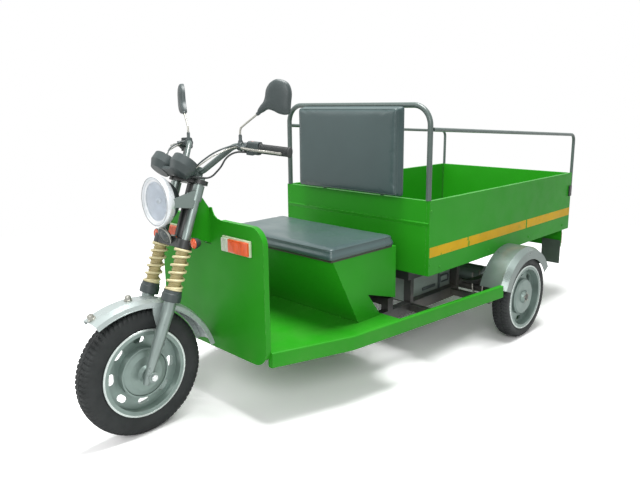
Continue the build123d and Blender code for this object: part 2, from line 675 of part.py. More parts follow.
APRON_CORNER = 70.0
APRON_TAB = ((96, -20), (96, 0), (66, 6), (48, 18), (38, 34), (34, 46))   # raised middle, half outline
with BuildPart() as front_apron:
    with BuildSketch(Plane.YZ.offset(APRON_X - APRON_FLANGE)) as outline:
        with Locations((0, (APRON_TOP + APRON_BOTTOM) / 2)):
            Rectangle(APRON_WIDTH, APRON_TOP - APRON_BOTTOM)
        top_corners = outline.vertices().group_by(Axis.Z)[-1]
        fillet(top_corners, APRON_CORNER)
        tab = [(y, APRON_TOP + rise) for y, rise in APRON_TAB]
        with BuildLine():
            Polyline(
                *tab, *[(-y, z) for y, z in tab[::-1]], close=True,
            )
        make_face()
    extrude(amount=APRON_FLANGE)
    with BuildSketch(Plane.YZ.offset(APRON_X - APRON_FLANGE)) as pocket:
        with Locations((0, (APRON_TOP + APRON_BOTTOM) / 2 - APRON_SHEET)):
            Rectangle(APRON_WIDTH - 2 * APRON_SHEET, APRON_TOP - APRON_BOTTOM)
        fillet(pocket.vertices().group_by(Axis.Z)[-1], APRON_CORNER - APRON_SHEET)
        with Locations((0, APRON_TOP)):
            Rectangle(2 * APRON_TAB[0][0] - 2 * APRON_SHEET, 2 * APRON_TAB[-1][1] + 8)
    extrude(amount=APRON_FLANGE - APRON_SHEET, mode=Mode.SUBTRACT)
    with BuildSketch(Plane.YZ.offset(APRON_X - APRON_FLANGE)):
        with Locations((0, APRON_TOP)):
            Rectangle(PILLAR_WIDTH + 2 * SEAT_GAP, 2 * (APRON_TOP - low_point.Z + 42))
    extrude(amount=APRON_FLANGE, mode=Mode.SUBTRACT)
finish(front_apron.part, "front_apron")

MARKER_LENGTH = 170.0
MARKER_HEIGHT = 62.0
MARKER_Y = 196.0
MARKER_Z = 703.0
MARKER_DEPTH = 22.0
with BuildPart() as marker_lamps:
    for side in (-1, 1):
        with BuildSketch(Plane.YZ.offset(APRON_X + SEAT_GAP)):
            with Locations((side * MARKER_Y, MARKER_Z)):
                RectangleRounded(MARKER_LENGTH, MARKER_HEIGHT, 8)
        extrude(amount=MARKER_DEPTH)
finish(marker_lamps.part, "marker_lamps")

# ---------------------------------------------------------------- floor and side rails
FLARE_BACK = 700.0           # where the side rail's flare eases, behind the front axle
FLARE_Y = 462.0
RAIL_END_BACK = 1630.0
RAIL_END_Y = 612.0
RAIL_END_RISE = 36.0
RAIL_START_Y = APRON_WIDTH / 2
RAIL_MIDDLE_Z = FLOOR_TOP + 6 - RAIL_HEIGHT / 2
FLOOR_END_BACK = SEAT_SETBACK + 345


def rail_y(back):
    """Outer side of the side rail, at a distance behind the front axle."""
    if back < FLARE_BACK:
        share = (back - APRON_SETBACK) / (FLARE_BACK - APRON_SETBACK)
        return RAIL_START_Y + share * (FLARE_Y - RAIL_START_Y)
    share = (back - FLARE_BACK) / (RAIL_END_BACK - FLARE_BACK)
    return FLARE_Y + share * (RAIL_END_Y - FLARE_Y)


for side, name in ((1, "left"), (-1, "right")):
    with BuildPart() as side_rail:
        middle = RAIL_THICKNESS / 2
        start_y = side * (rail_y(APRON_SETBACK + APRON_FLANGE) - middle)
        start = (APRON_X - APRON_FLANGE - SEAT_GAP, start_y, RAIL_MIDDLE_Z)
        knee = (FRONT_AXLE_X - FLARE_BACK, side * (FLARE_Y - middle), RAIL_MIDDLE_Z)
        end = (FRONT_AXLE_X - RAIL_END_BACK, side * (RAIL_END_Y - middle), RAIL_MIDDLE_Z + RAIL_END_RISE)
        with BuildLine() as route:
            Polyline(start, knee, end)
        with BuildSketch(Plane(origin=start, x_dir=(0, 1, 0), z_dir=(-1, 0, 0))):
            RectangleRounded(RAIL_THICKNESS, RAIL_HEIGHT, 6)
        sweep(path=route.line, transition=Transition.RIGHT)
    finish(side_rail.part, f"side_rail_{name}")

with BuildPart() as floor_panel:
    with BuildSketch(Plane.XY.offset(FLOOR_TOP - FLOOR_SHEET)):
        with BuildLine():
            inset = RAIL_THICKNESS + SEAT_GAP * 4
            backs = (APRON_SETBACK + APRON_FLANGE + SEAT_GAP, FLARE_BACK, FLOOR_END_BACK)
            edge = [(FRONT_AXLE_X - back, rail_y(back) - inset) for back in backs]
            Polyline(*edge, *[(x, -y) for x, y in edge[::-1]], close=True)
        make_face()
    extrude(amount=FLOOR_SHEET)
    with BuildSketch(Plane.XY.offset(FLOOR_TOP - FLOOR_SHEET)):
        with Locations((pillar_x - PILLAR_DEPTH / 2, 0)):
            Rectangle(PILLAR_DEPTH + 2 * SEAT_GAP, PILLAR_WIDTH + 2 * SEAT_GAP)
    extrude(amount=FLOOR_SHEET, mode=Mode.SUBTRACT)
finish(floor_panel.part, "floor_panel")

# ---------------------------------------------------------------- chassis
EYE_RADIUS = 14.0
LEAF_WIDTH = 45.0
LEAF_THICK = 6.0
LEAF_COUNT = 4
AXLE_TUBE = 28.0
EYE_RISE = 34.0
SPRING_SEAT = 8.0
leaf_base = REAR_TYRE_RADIUS + AXLE_TUBE + SPRING_SEAT
eye_z = leaf_base + LEAF_THICK * (LEAF_COUNT - 0.5) + EYE_RISE
TUBE_HALF = CHASSIS_TUBE / 2
LOW_RAIL_END = WHEELBASE - 262
HIGH_RAIL_BOTTOM = BOX_BOTTOM - 45
POST_HALF = 12.0
POST_BACKS = (BOX_FRONT + 42, LOW_RAIL_END - POST_HALF)
BATTERY_FRONT = BOX_FRONT + 110
BATTERY_LENGTH = WHEELBASE - 212 - BATTERY_FRONT
BATTERY_WIDTH = 2 * (CHASSIS_Y - CHASSIS_TUBE / 2 - 6)
BATTERY_BOTTOM = 262.0
BATTERY_HEIGHT = 176.0
SEAT_BOX_TOP = SEAT_TOP - SEAT_THICKNESS - 10
SEAT_BOX_OPEN_TOP = 356.0
frame_front = pillar_rear + SEAT_GAP
RAIL_START = 462.0
SHACKLE_BACK = 2 * WHEELBASE - LOW_RAIL_END - EYE_RADIUS - SEAT_GAP
low_reach = CHASSIS_Y - TUBE_HALF
SEAT_PROP = SEAT_BOX_REAR - 42           # cross tube that props the rear of the bench
SPINE_END = 800.0
BATTERY_BEARERS = (BATTERY_FRONT + 50, BATTERY_FRONT + BATTERY_LENGTH - 90)
FLOOR_BEARERS = (
    BOX_FRONT + 32, BOX_FRONT + BOX_LENGTH * 0.38, BOX_FRONT + BOX_LENGTH * 0.62,
    PANEL_BACK - TUBE_HALF - SEAT_GAP,
)
OUTRIGGER_BACKS = (POST_BACKS[0], RAIL_END_BACK - 50)
OUTRIGGER_TUBE = 30.0


def tube_sides(side):
    """Inner and outer face of a longitudinal tube."""
    return side * CHASSIS_Y - TUBE_HALF, side * CHASSIS_Y + TUBE_HALF


with BuildPart() as chassis_frame:
    add(member(frame_front, SPINE_END, -TUBE_HALF, TUBE_HALF, LOW_RAIL_BOTTOM, LOW_RAIL_TOP))
    for side in (-1, 1):
        y0, y1 = tube_sides(side)
        add(member(RAIL_START, LOW_RAIL_END, y0, y1, LOW_RAIL_BOTTOM, LOW_RAIL_TOP))
        add(member(SEAT_PROP, SEAT_PROP + 36, y0, y1, LOW_RAIL_TOP, SEAT_BOX_OPEN_TOP))
    for back in (RAIL_START + TUBE_HALF, SPINE_END):
        add(member(back - TUBE_HALF, back + TUBE_HALF, -low_reach, low_reach, LOW_RAIL_BOTTOM, LOW_RAIL_TOP))
    for back in BATTERY_BEARERS:
        top = BATTERY_BOTTOM - SEAT_GAP
        add(member(back - TUBE_HALF, back + TUBE_HALF, -low_reach, low_reach, LOW_RAIL_BOTTOM, top))
    add(member(SEAT_PROP, SEAT_PROP + 36, -low_reach, low_reach, SEAT_BOX_OPEN_TOP - 36, SEAT_BOX_OPEN_TOP))
finish(chassis_frame.part, "chassis_frame")

with BuildPart() as box_subframe:
    for side in (-1, 1):
        y0, y1 = tube_sides(side)
        add(member(BOX_FRONT + 12, PANEL_BACK - SEAT_GAP, y0, y1, HIGH_RAIL_BOTTOM, BOX_BOTTOM))
        for back in POST_BACKS:
            add(member(back - POST_HALF, back + POST_HALF, y0, y1, LOW_RAIL_TOP, HIGH_RAIL_BOTTOM))
        eye_top = eye_z + EYE_RADIUS + SEAT_GAP
        add(member(SHACKLE_BACK - 14, SHACKLE_BACK + 14, y0, y1, eye_top, HIGH_RAIL_BOTTOM))
    for back in FLOOR_BEARERS:
        add(member(back - TUBE_HALF, back + TUBE_HALF, -low_reach, low_reach, HIGH_RAIL_BOTTOM, BOX_BOTTOM))
finish(box_subframe.part, "box_subframe")

with BuildPart() as outriggers:
    for side in (-1, 1):
        for back in OUTRIGGER_BACKS:
            inner = side * (CHASSIS_Y + TUBE_HALF)
            outer = side * (rail_y(back) - RAIL_THICKNESS - 3)
            front, rear = back - OUTRIGGER_TUBE / 2, back + OUTRIGGER_TUBE / 2
            add(member(front, rear, inner, outer, LOW_RAIL_TOP - 40, LOW_RAIL_TOP - 10))
finish(outriggers.part, "outriggers")

# ---------------------------------------------------------------- rear axle, springs and motor
axle_centre = Vector(REAR_AXLE_X, 0, REAR_TYRE_RADIUS)
SPRING_HALF = WHEELBASE - LOW_RAIL_END - 8 - EYE_RADIUS - SEAT_GAP
for side, name in ((1, "left"), (-1, "right")):
    with BuildPart() as leaf_spring:
        for leaf in range(LEAF_COUNT):
            reach = SPRING_HALF * (1 - 0.2 * leaf)
            low = leaf_base + LEAF_THICK * (LEAF_COUNT - 1 - leaf)
            rise = EYE_RISE * (reach / SPRING_HALF) ** 2
            with BuildSketch(Plane.XZ.offset(-side * CHASSIS_Y - LEAF_WIDTH / 2)):
                with BuildLine():
                    ends = [(REAR_AXLE_X - reach, low + rise), (REAR_AXLE_X + reach, low + rise)]
                    tops = [(x, z + LEAF_THICK) for x, z in ends]
                    ThreePointArc(ends[0], (REAR_AXLE_X, low), ends[1])
                    Line(ends[1], tops[1])
                    ThreePointArc(tops[1], (REAR_AXLE_X, low + LEAF_THICK), tops[0])
                    Line(tops[0], ends[0])
                make_face()
            extrude(amount=LEAF_WIDTH)
        for end in (-1, 1):
            with BuildSketch(Plane.XZ.offset(-side * CHASSIS_Y - LEAF_WIDTH / 2)):
                with Locations((REAR_AXLE_X + end * (SPRING_HALF + 8), eye_z)):
                    Circle(EYE_RADIUS)
            extrude(amount=LEAF_WIDTH)
        with BuildSketch(Plane.XY.offset(leaf_base - SPRING_SEAT + SEAT_GAP)):
            with Locations((REAR_AXLE_X, side * CHASSIS_Y)):
                Rectangle(90, LEAF_WIDTH + 10)
        extrude(amount=SPRING_SEAT)
    finish(leaf_spring.part, f"leaf_spring_{name}")

GEARBOX_X = REAR_AXLE_X - 112
GEARBOX_Y = 112.0
GEARBOX_Z = REAR_TYRE_RADIUS + 22
MOTOR_RADIUS = 74.0
with BuildPart() as rear_axle:
    with BuildSketch(wheel_section(axle_centre)):
        with BuildLine():
            end_y = REAR_WHEEL_Y + 46
            plate_y = REAR_WHEEL_Y - 42
            half_line = [
                (end_y, 0), (end_y, SPINDLE_RADIUS), (plate_y + 8, SPINDLE_RADIUS),
                (plate_y + 8, BRAKE_PLATE_RADIUS), (plate_y, BRAKE_PLATE_RADIUS),
                (plate_y - 6, 50), (plate_y - 6, AXLE_TUBE), (110, AXLE_TUBE), (80, 78), (50, 98),
            ]
            mirrored = [(-y, r) for y, r in half_line[::-1]]
            Polyline(*half_line, *mirrored, close=True)
        make_face()
    revolve(axis=Axis(axle_centre, (0, 1, 0)))
    with BuildSketch(Plane.XZ.offset(-GEARBOX_Y)):
        with Locations(((REAR_AXLE_X + GEARBOX_X - MOTOR_RADIUS) / 2, GEARBOX_Z)):
            RectangleRounded(REAR_AXLE_X - GEARBOX_X + MOTOR_RADIUS, 2 * MOTOR_RADIUS - 10, 20)
    extrude(amount=80)
finish(rear_axle.part, "rear_axle")

MOTOR_LENGTH = 180.0
with BuildPart() as drive_motor:
    motor_plane = Plane(origin=(GEARBOX_X, GEARBOX_Y + SEAT_GAP, GEARBOX_Z), z_dir=(0, 1, 0))
    with BuildSketch(motor_plane):
        Circle(MOTOR_RADIUS)
    extrude(amount=24)
    with BuildSketch(motor_plane.offset(24)):
        Circle(MOTOR_RADIUS - 8)
    extrude(amount=MOTOR_LENGTH - 24)
finish(drive_motor.part, "drive_motor")

# ---------------------------------------------------------------- load box
wall_y = BOX_HALF - BOX_WALL
for side, name in ((1, "left"), (-1, "right")):
    with BuildPart() as box_side:
        add(member(BOX_FRONT, BOX_FRONT + BOX_LENGTH, side * wall_y, side * BOX_HALF, BOX_BOTTOM, BOX_TOP))
    finish(box_side.part, f"cargo_side_{name}")
with BuildPart() as cargo_front:
    inner_y = wall_y - SEAT_GAP
    add(member(BOX_FRONT, BOX_FRONT + BOX_WALL, -inner_y, inner_y, BOX_BOTTOM, BOX_TOP))
finish(cargo_front.part, "cargo_front")

HINGE_RADIUS = 9.0
HINGE_PIN = 5.0
HINGE_Z = BOX_BOTTOM + 6
HINGE_BACK = BOX_FRONT + BOX_LENGTH + HINGE_RADIUS
GATE_HALF = wall_y - PANEL_GAP
GATE_KNUCKLE = 60.0
GATE_KNUCKLES = (-330.0, 0.0, 330.0)
hinge_centre = (FRONT_AXLE_X - HINGE_BACK, HINGE_Z)
with BuildPart() as cargo_floor:
    rear = BOX_FRONT + BOX_LENGTH - PANEL_GAP
    floor_y = wall_y - SEAT_GAP
    front = BOX_FRONT + BOX_WALL + SEAT_GAP
    add(member(front, rear, -floor_y, floor_y, BOX_BOTTOM + SEAT_GAP, LOAD_FLOOR_TOP))
    for y in GATE_KNUCKLES:
        for end in (-1, 1):
            start = y + end * (GATE_KNUCKLE / 2 + 1)
            low, high = sorted((start, start + end * 30))
            with BuildSketch(Plane.XZ.offset(-high)):
                with Locations(hinge_centre):
                    Circle(HINGE_RADIUS)
                with Locations(((hinge_centre[0] + FRONT_AXLE_X - rear) / 2, HINGE_Z)):
                    Rectangle(abs(FRONT_AXLE_X - rear - hinge_centre[0]) + 2, 8)
            extrude(amount=high - low)
        with BuildSketch(Plane.XZ.offset(-y - GATE_KNUCKLE / 2 - 20)):
            with Locations(hinge_centre):
                Circle(HINGE_PIN)
        extrude(amount=GATE_KNUCKLE + 40)
finish(cargo_floor.part, "cargo_floor")

gate_outer = BOX_FRONT + BOX_LENGTH
GATE_BOTTOM = HINGE_Z + HINGE_RADIUS + 3
with BuildPart() as tailgate:
    add(member(gate_outer - BOX_WALL, gate_outer, -GATE_HALF, GATE_HALF, GATE_BOTTOM, BOX_TOP))
    for y in GATE_KNUCKLES:
        with BuildSketch(Plane.XZ.offset(-y - GATE_KNUCKLE / 2)):
            with Locations(hinge_centre):
                Circle(HINGE_RADIUS)
            with Locations((FRONT_AXLE_X - gate_outer - 3, GATE_BOTTOM)):
                Rectangle(6, 40)
        extrude(amount=GATE_KNUCKLE)
    with BuildSketch(Plane.XZ.offset(-GATE_HALF)):
        with Locations(hinge_centre):
            Circle(HINGE_PIN + RUNNING_FIT)
    extrude(amount=2 * GATE_HALF, mode=Mode.SUBTRACT)
finish(tailgate.part, "tailgate")

LATCH_BOTTOM = 660.0
with BuildPart() as tailgate_latches:
    for side in (-1, 1):
        y0, y1 = side * (BOX_HALF + SEAT_GAP), side * (BOX_HALF + 9)
        add(member(gate_outer - 36, gate_outer - 8, y0, y1, LATCH_BOTTOM, LATCH_BOTTOM + 62))
finish(tailgate_latches.part, "tailgate_latches")

# ---------------------------------------------------------------- hoop, hand rails, backrest
HOOP_BACK = BOX_FRONT + BOX_WALL / 2
HOOP_Y = BOX_HALF - HOOP_TUBE - 3
HOOP_BEND = 90.0
hoop_x = FRONT_AXLE_X - HOOP_BACK
with BuildPart() as hoop_frame:
    with BuildLine() as hoop_line:
        FilletPolyline(
            (hoop_x, HOOP_Y, BOX_TOP + SEAT_GAP), (hoop_x, HOOP_Y, HOOP_TOP),
            (hoop_x, -HOOP_Y, HOOP_TOP), (hoop_x, -HOOP_Y, BOX_TOP + SEAT_GAP), radius=HOOP_BEND,
        )
    with BuildSketch(Plane.XY.offset(BOX_TOP + SEAT_GAP)):
        with Locations((hoop_x, HOOP_Y)):
            Circle(HOOP_TUBE)
    sweep(path=hoop_line.line)
    for y in (-190, 190):
        with BuildSketch(Plane.XY.offset(BOX_TOP + SEAT_GAP)):
            with Locations((hoop_x, y)):
                Circle(HOOP_TUBE - 3)
        extrude(amount=HOOP_TOP - BOX_TOP - SEAT_GAP)
finish(hoop_frame.part, "hoop_frame")

RAIL_POST_X = FRONT_AXLE_X - gate_outer - HAND_RAIL_TUBE - SEAT_GAP
RAIL_POST_FOOT = 668.0
for side, name in ((1, "left"), (-1, "right")):
    post_y = side * (BOX_HALF - HAND_RAIL_TUBE)
    route = [
        (hoop_x - HOOP_TUBE - 2 * SEAT_GAP, post_y, HAND_RAIL_FRONT),
        (RAIL_POST_X, post_y, HAND_RAIL_REAR),
        (RAIL_POST_X, post_y, RAIL_POST_FOOT),
    ]
    finish(pipe(route, [40], HAND_RAIL_TUBE), f"hand_rail_{name}")

backrest_back = HOOP_BACK - HOOP_TUBE - SEAT_GAP
with BuildPart() as backrest:
    add(member(backrest_back - BACKREST_THICKNESS, backrest_back, -BACKREST_WIDTH / 2, BACKREST_WIDTH / 2,
              BACKREST_BOTTOM, HOOP_TOP - 4))
    fillet(backrest.edges().filter_by(Axis.X), 14)
    fillet(backrest.faces().sort_by(Axis.X)[-1].edges(), 16)
finish(backrest.part, "backrest")

# ---------------------------------------------------------------- seat
SEAT_PAN = 9.0
SEAT_BOX_FRONT_TOP = SEAT_SETBACK + 25
SEAT_BOX_FRONT_FOOT = SEAT_SETBACK + 181
SEAT_CUT_FRONT = SEAT_SETBACK + 245
SEAT_BOX_FOOT_END = SEAT_SETBACK + 330
SEAT_CUT_TOP = 412.0
seat_box_z = FLOOR_TOP + SEAT_GAP


def seat_profile(shrink):
    """Side view of the bench box: knees-back front, cut away over the chassis at the rear."""
    return [
        (FRONT_AXLE_X - SEAT_BOX_FRONT_TOP - shrink, SEAT_BOX_TOP - shrink),
        (FRONT_AXLE_X - SEAT_BOX_FRONT_FOOT - shrink * 1.1, seat_box_z - shrink),
        (FRONT_AXLE_X - SEAT_BOX_FOOT_END + shrink, seat_box_z - shrink),
        (FRONT_AXLE_X - SEAT_CUT_FRONT + shrink, SEAT_CUT_TOP - shrink * 0.4),
        (FRONT_AXLE_X - SEAT_BOX_REAR + shrink, SEAT_BOX_OPEN_TOP - shrink),
        (FRONT_AXLE_X - SEAT_BOX_REAR + shrink, SEAT_BOX_TOP - shrink),
    ]


SEAT_HATCH = 60.0
SEAT_HINGES = (-240.0, 240.0)
SEAT_KNUCKLE = 7.0
SEAT_PIN = 4.0
SEAT_HINGE_BACK = SEAT_SETBACK + SEAT_DEPTH + 9
seat_hinge = (FRONT_AXLE_X - SEAT_HINGE_BACK, SEAT_BOX_TOP + 12)
with BuildPart() as seat_box:
    with BuildSketch(Plane.XZ.offset(-SEAT_BOX_WIDTH / 2)):
        with BuildLine():
            Polyline(*seat_profile(0), close=True)
        make_face()
    extrude(amount=SEAT_BOX_WIDTH)
    inner = SEAT_BOX_WIDTH - 2 * SEAT_BOX_SHEET
    with BuildSketch(Plane.XZ.offset(-inner / 2)):
        with BuildLine():
            Polyline(*seat_profile(SEAT_BOX_SHEET), close=True)
        make_face()
    extrude(amount=inner, mode=Mode.SUBTRACT)
    hatch_front = SEAT_BOX_FRONT_TOP + SEAT_HATCH
    hatch_rear = SEAT_BOX_REAR - SEAT_HATCH
    with BuildSketch(Plane.XY.offset(SEAT_BOX_TOP - 20)):
        with Locations((FRONT_AXLE_X - (hatch_front + hatch_rear) / 2, 0)):
            Rectangle(hatch_rear - hatch_front, SEAT_BOX_WIDTH - 2 * SEAT_HATCH)
    extrude(amount=40, mode=Mode.SUBTRACT)
    for y in SEAT_HINGES:
        for end in (-1, 1):
            low, high = sorted((y + end * 16, y + end * 30))
            with BuildSketch(Plane.XZ.offset(-high)):
                with Locations(seat_hinge):
                    Circle(SEAT_KNUCKLE)
                with Locations((seat_hinge[0], seat_hinge[1] - SEAT_KNUCKLE)):
                    Rectangle(8, 2 * SEAT_KNUCKLE)
            extrude(amount=high - low)
        with BuildSketch(Plane.XZ.offset(-y - 30)):
            with Locations(seat_hinge):
                Circle(SEAT_PIN)
        extrude(amount=60)
finish(seat_box.part, "seat_box")

with BuildPart() as seat_pan:
    add(member(SEAT_SETBACK + 12, SEAT_SETBACK + SEAT_DEPTH - 6, -SEAT_WIDTH / 2 + 12, SEAT_WIDTH / 2 - 12,
              SEAT_BOX_TOP + SEAT_GAP, SEAT_BOX_TOP + SEAT_PAN))
    for y in SEAT_HINGES:
        with BuildSketch(Plane.XZ.offset(-y - 15)):
            with Locations(seat_hinge):
                Circle(SEAT_KNUCKLE)
            with Locations((seat_hinge[0] + 11, SEAT_BOX_TOP + SEAT_PAN - 3)):
                Rectangle(22, 6)
        extrude(amount=30)
        with BuildSketch(Plane.XZ.offset(-y - 30)):
            with Locations(seat_hinge):
                Circle(SEAT_PIN + RUNNING_FIT)
        extrude(amount=60, mode=Mode.SUBTRACT)
finish(seat_pan.part, "seat_pan")
with BuildPart() as seat_cushion:
    add(member(SEAT_SETBACK, SEAT_SETBACK + SEAT_DEPTH, -SEAT_WIDTH / 2, SEAT_WIDTH / 2,
              SEAT_BOX_TOP + SEAT_PAN + SEAT_GAP, SEAT_TOP))
    fillet(seat_cushion.edges().filter_by(Axis.Z), 18)
    fillet(seat_cushion.faces().sort_by(Axis.Z)[-1].edges(), 12)
finish(seat_cushion.part, "seat_cushion")

# ---------------------------------------------------------------- battery box
with BuildPart() as battery_box:
    add(member(BATTERY_FRONT, BATTERY_FRONT + BATTERY_LENGTH, -BATTERY_WIDTH / 2, BATTERY_WIDTH / 2,
              BATTERY_BOTTOM, BATTERY_BOTTOM + BATTERY_HEIGHT))
finish(battery_box.part, "battery_box")

# ---------------------------------------------------------------- rear mudguards, panel and lamps
REAR_GUARD_RADIUS = REAR_TYRE_RADIUS + 50
REAR_GUARD_OUTER = REAR_WHEEL_Y + TYRE_WIDTH / 2 + 10
REAR_GUARD_SKIRT = 62.0
REAR_GUARD_FRONT = 20.0
REAR_GUARD_REAR = 150.0
REAR_GUARD_INNER = BOX_HALF + SEAT_GAP
for side, name in ((1, "left"), (-1, "right")):
    with BuildPart() as rear_guard:
        with BuildSketch(radial_plane(axle_centre, REAR_GUARD_FRONT)):
            with BuildLine():
                sheet = GUARD_SHEET
                top = REAR_GUARD_RADIUS
                outline = [
                    (REAR_GUARD_INNER, top), (REAR_GUARD_OUTER - 30, top), (REAR_GUARD_OUTER, top - 16),
                    (REAR_GUARD_OUTER, top - REAR_GUARD_SKIRT),
                    (REAR_GUARD_OUTER - sheet, top - REAR_GUARD_SKIRT),
                    (REAR_GUARD_OUTER - sheet, top - 18), (REAR_GUARD_OUTER - 31, top - sheet),
                    (REAR_GUARD_INNER, top - sheet),
                ]
                Polyline(*[(side * y, r) for y, r in outline], close=True)
            make_face()
        revolve(axis=Axis(axle_centre, (0, -1, 0)), revolution_arc=REAR_GUARD_REAR - REAR_GUARD_FRONT)
    finish(rear_guard.part, f"rear_mudguard_{name}")

PANEL_BOTTOM = 344.0
with BuildPart() as rear_panel:
    panel_half = BOX_HALF - 10
    add(member(PANEL_BACK, PANEL_BACK + 4, -panel_half, panel_half, PANEL_BOTTOM, BOX_BOTTOM - SEAT_GAP))
finish(rear_panel.part, "rear_panel")
with BuildPart() as mud_flaps:
    for side in (-1, 1):
        y0, y1 = side * (BOX_HALF - 130), side * (BOX_HALF - 12)
        add(member(PANEL_BACK - 3.5, PANEL_BACK - SEAT_GAP, y0, y1, 236, PANEL_BOTTOM + 40))
finish(mud_flaps.part, "mud_flaps")
with BuildPart() as tail_lamps:
    for side in (-1, 1):
        y0, y1 = side * (BOX_HALF - 150), side * (BOX_HALF - 20)
        add(member(PANEL_BACK + 4 + SEAT_GAP, PANEL_BACK + 34, y0, y1, PANEL_BOTTOM + 16, BOX_BOTTOM - 26))
finish(tail_lamps.part, "tail_lamps")

# ---------------------------------------------------------------- brake pedal
PEDAL_Y = -200.0
PEDAL_BACK = 495.0
with BuildPart() as brake_pedal:
    shoe = (PEDAL_BACK - 25, PEDAL_BACK + 25, PEDAL_Y - 16, PEDAL_Y + 16)
    add(member(*shoe, FLOOR_TOP + SEAT_GAP, FLOOR_TOP + 12))
    with BuildSketch(Plane.XZ.offset(-PEDAL_Y - 5)):
        with BuildLine():
            foot_x = FRONT_AXLE_X - PEDAL_BACK
            Polyline(
                (foot_x - 9, FLOOR_TOP + 6), (foot_x + 9, FLOOR_TOP + 6), (foot_x + 60, FLOOR_TOP + 96),
                (foot_x + 44, FLOOR_TOP + 104), close=True,
            )
        make_face()
    extrude(amount=10)
    pad = Plane(origin=(foot_x + 48, PEDAL_Y, FLOOR_TOP + 96), x_dir=(0, 1, 0), z_dir=(-0.5, 0, 0.866))
    with BuildSketch(pad):
        RectangleRounded(70, 56, 6)
    extrude(amount=10)
finish(brake_pedal.part, "brake_pedal")

# ---------------------------------------------------------------- control cables
CABLE_RADIUS = 3.5
with BuildPart() as control_cables:
    for side in (-1, 1):
        start, inward = along_grip(side, GRIP_LENGTH + HOUSING_LENGTH - 2.7)
        start = start + Vector(14, 0, -17)
        first = start + inward * 62 + Vector(10, 0, -4)
        third = bar_point(10, side * 104, -20)
        second = (first + third) * 0.5 + Vector(0, side * 6, -8)
        seat = pod_base + pod_up * 13 + Vector(0, side * POD_Y, 0)
        outward = (pod_out + Vector(0, side, 0)).normalized()
        end = seat + outward * (POD_RADIUS * 0.86 + CABLE_RADIUS + SEAT_GAP)
        with BuildLine() as cable_line:
            FilletPolyline(start, first, second, third, end, radius=[70, 90, 35])
        with BuildSketch(Plane(cable_line.line @ 0, z_dir=cable_line.line % 0)):
            Circle(CABLE_RADIUS)
        sweep(path=cable_line.line)
finish(control_cables.part, "control_cables")
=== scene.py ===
"""Finish of the electric cargo rickshaw: materials, tyres, padding, trim, camera and light around the CAD frame."""

import json
import math

import bmesh
import bpy
from mathutils import Matrix, Vector


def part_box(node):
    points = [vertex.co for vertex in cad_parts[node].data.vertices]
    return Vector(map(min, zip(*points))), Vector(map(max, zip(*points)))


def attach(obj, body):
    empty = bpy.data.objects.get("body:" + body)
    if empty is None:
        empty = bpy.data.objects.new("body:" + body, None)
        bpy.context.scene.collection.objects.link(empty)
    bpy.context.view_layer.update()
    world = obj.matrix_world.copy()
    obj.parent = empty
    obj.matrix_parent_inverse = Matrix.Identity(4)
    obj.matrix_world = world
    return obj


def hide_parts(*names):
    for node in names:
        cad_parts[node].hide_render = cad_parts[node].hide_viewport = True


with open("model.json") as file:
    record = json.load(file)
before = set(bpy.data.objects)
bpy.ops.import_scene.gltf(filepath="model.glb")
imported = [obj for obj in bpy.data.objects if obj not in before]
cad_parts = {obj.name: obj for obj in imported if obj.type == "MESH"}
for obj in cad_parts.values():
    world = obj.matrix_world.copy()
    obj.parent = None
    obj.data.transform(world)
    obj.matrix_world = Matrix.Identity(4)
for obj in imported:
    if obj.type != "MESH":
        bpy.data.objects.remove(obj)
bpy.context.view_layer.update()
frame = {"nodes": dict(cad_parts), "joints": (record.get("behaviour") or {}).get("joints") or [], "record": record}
NODES = frame["nodes"]
JOINTS = {joint["name"]: joint for joint in frame["joints"]}
MM = 0.001
FLOOR_TONE = 1.3        # tone of the floor to the camera, so that it is white where it is lit
VOXEL = 0.006           # remesh size of the cushions
CLOTH_FRAMES = 20
CLOTH_PRESSURE = 4.0

# ---------------------------------------------------------------- places taken from the frame
FRONT_AXLE = Vector(JOINTS["front_wheel_spin"]["pos_m"])
REAR_AXLES = {side: Vector(JOINTS[f"rear_wheel_{side}_spin"]["pos_m"]) for side in ("left", "right")}


def show(made):
    """Links an object to the scene."""
    bpy.context.scene.collection.objects.link(made)


def corners_of(node):
    """Lowest and highest corners of a CAD node."""
    return tuple(Vector(corner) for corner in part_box(node))


# ---------------------------------------------------------------- materials
def srgb(red, green, blue):
    """Linear colour from 8-bit display values."""
    def one(value):
        value /= 255
        return value / 12.92 if value <= 0.04045 else ((value + 0.055) / 1.055) ** 2.4
    return one(red), one(green), one(blue), 1.0


def scaled(colour, factor):
    return tuple(min(1.0, channel * factor) for channel in colour[:3]) + (1.0,)


MATERIALS = {}


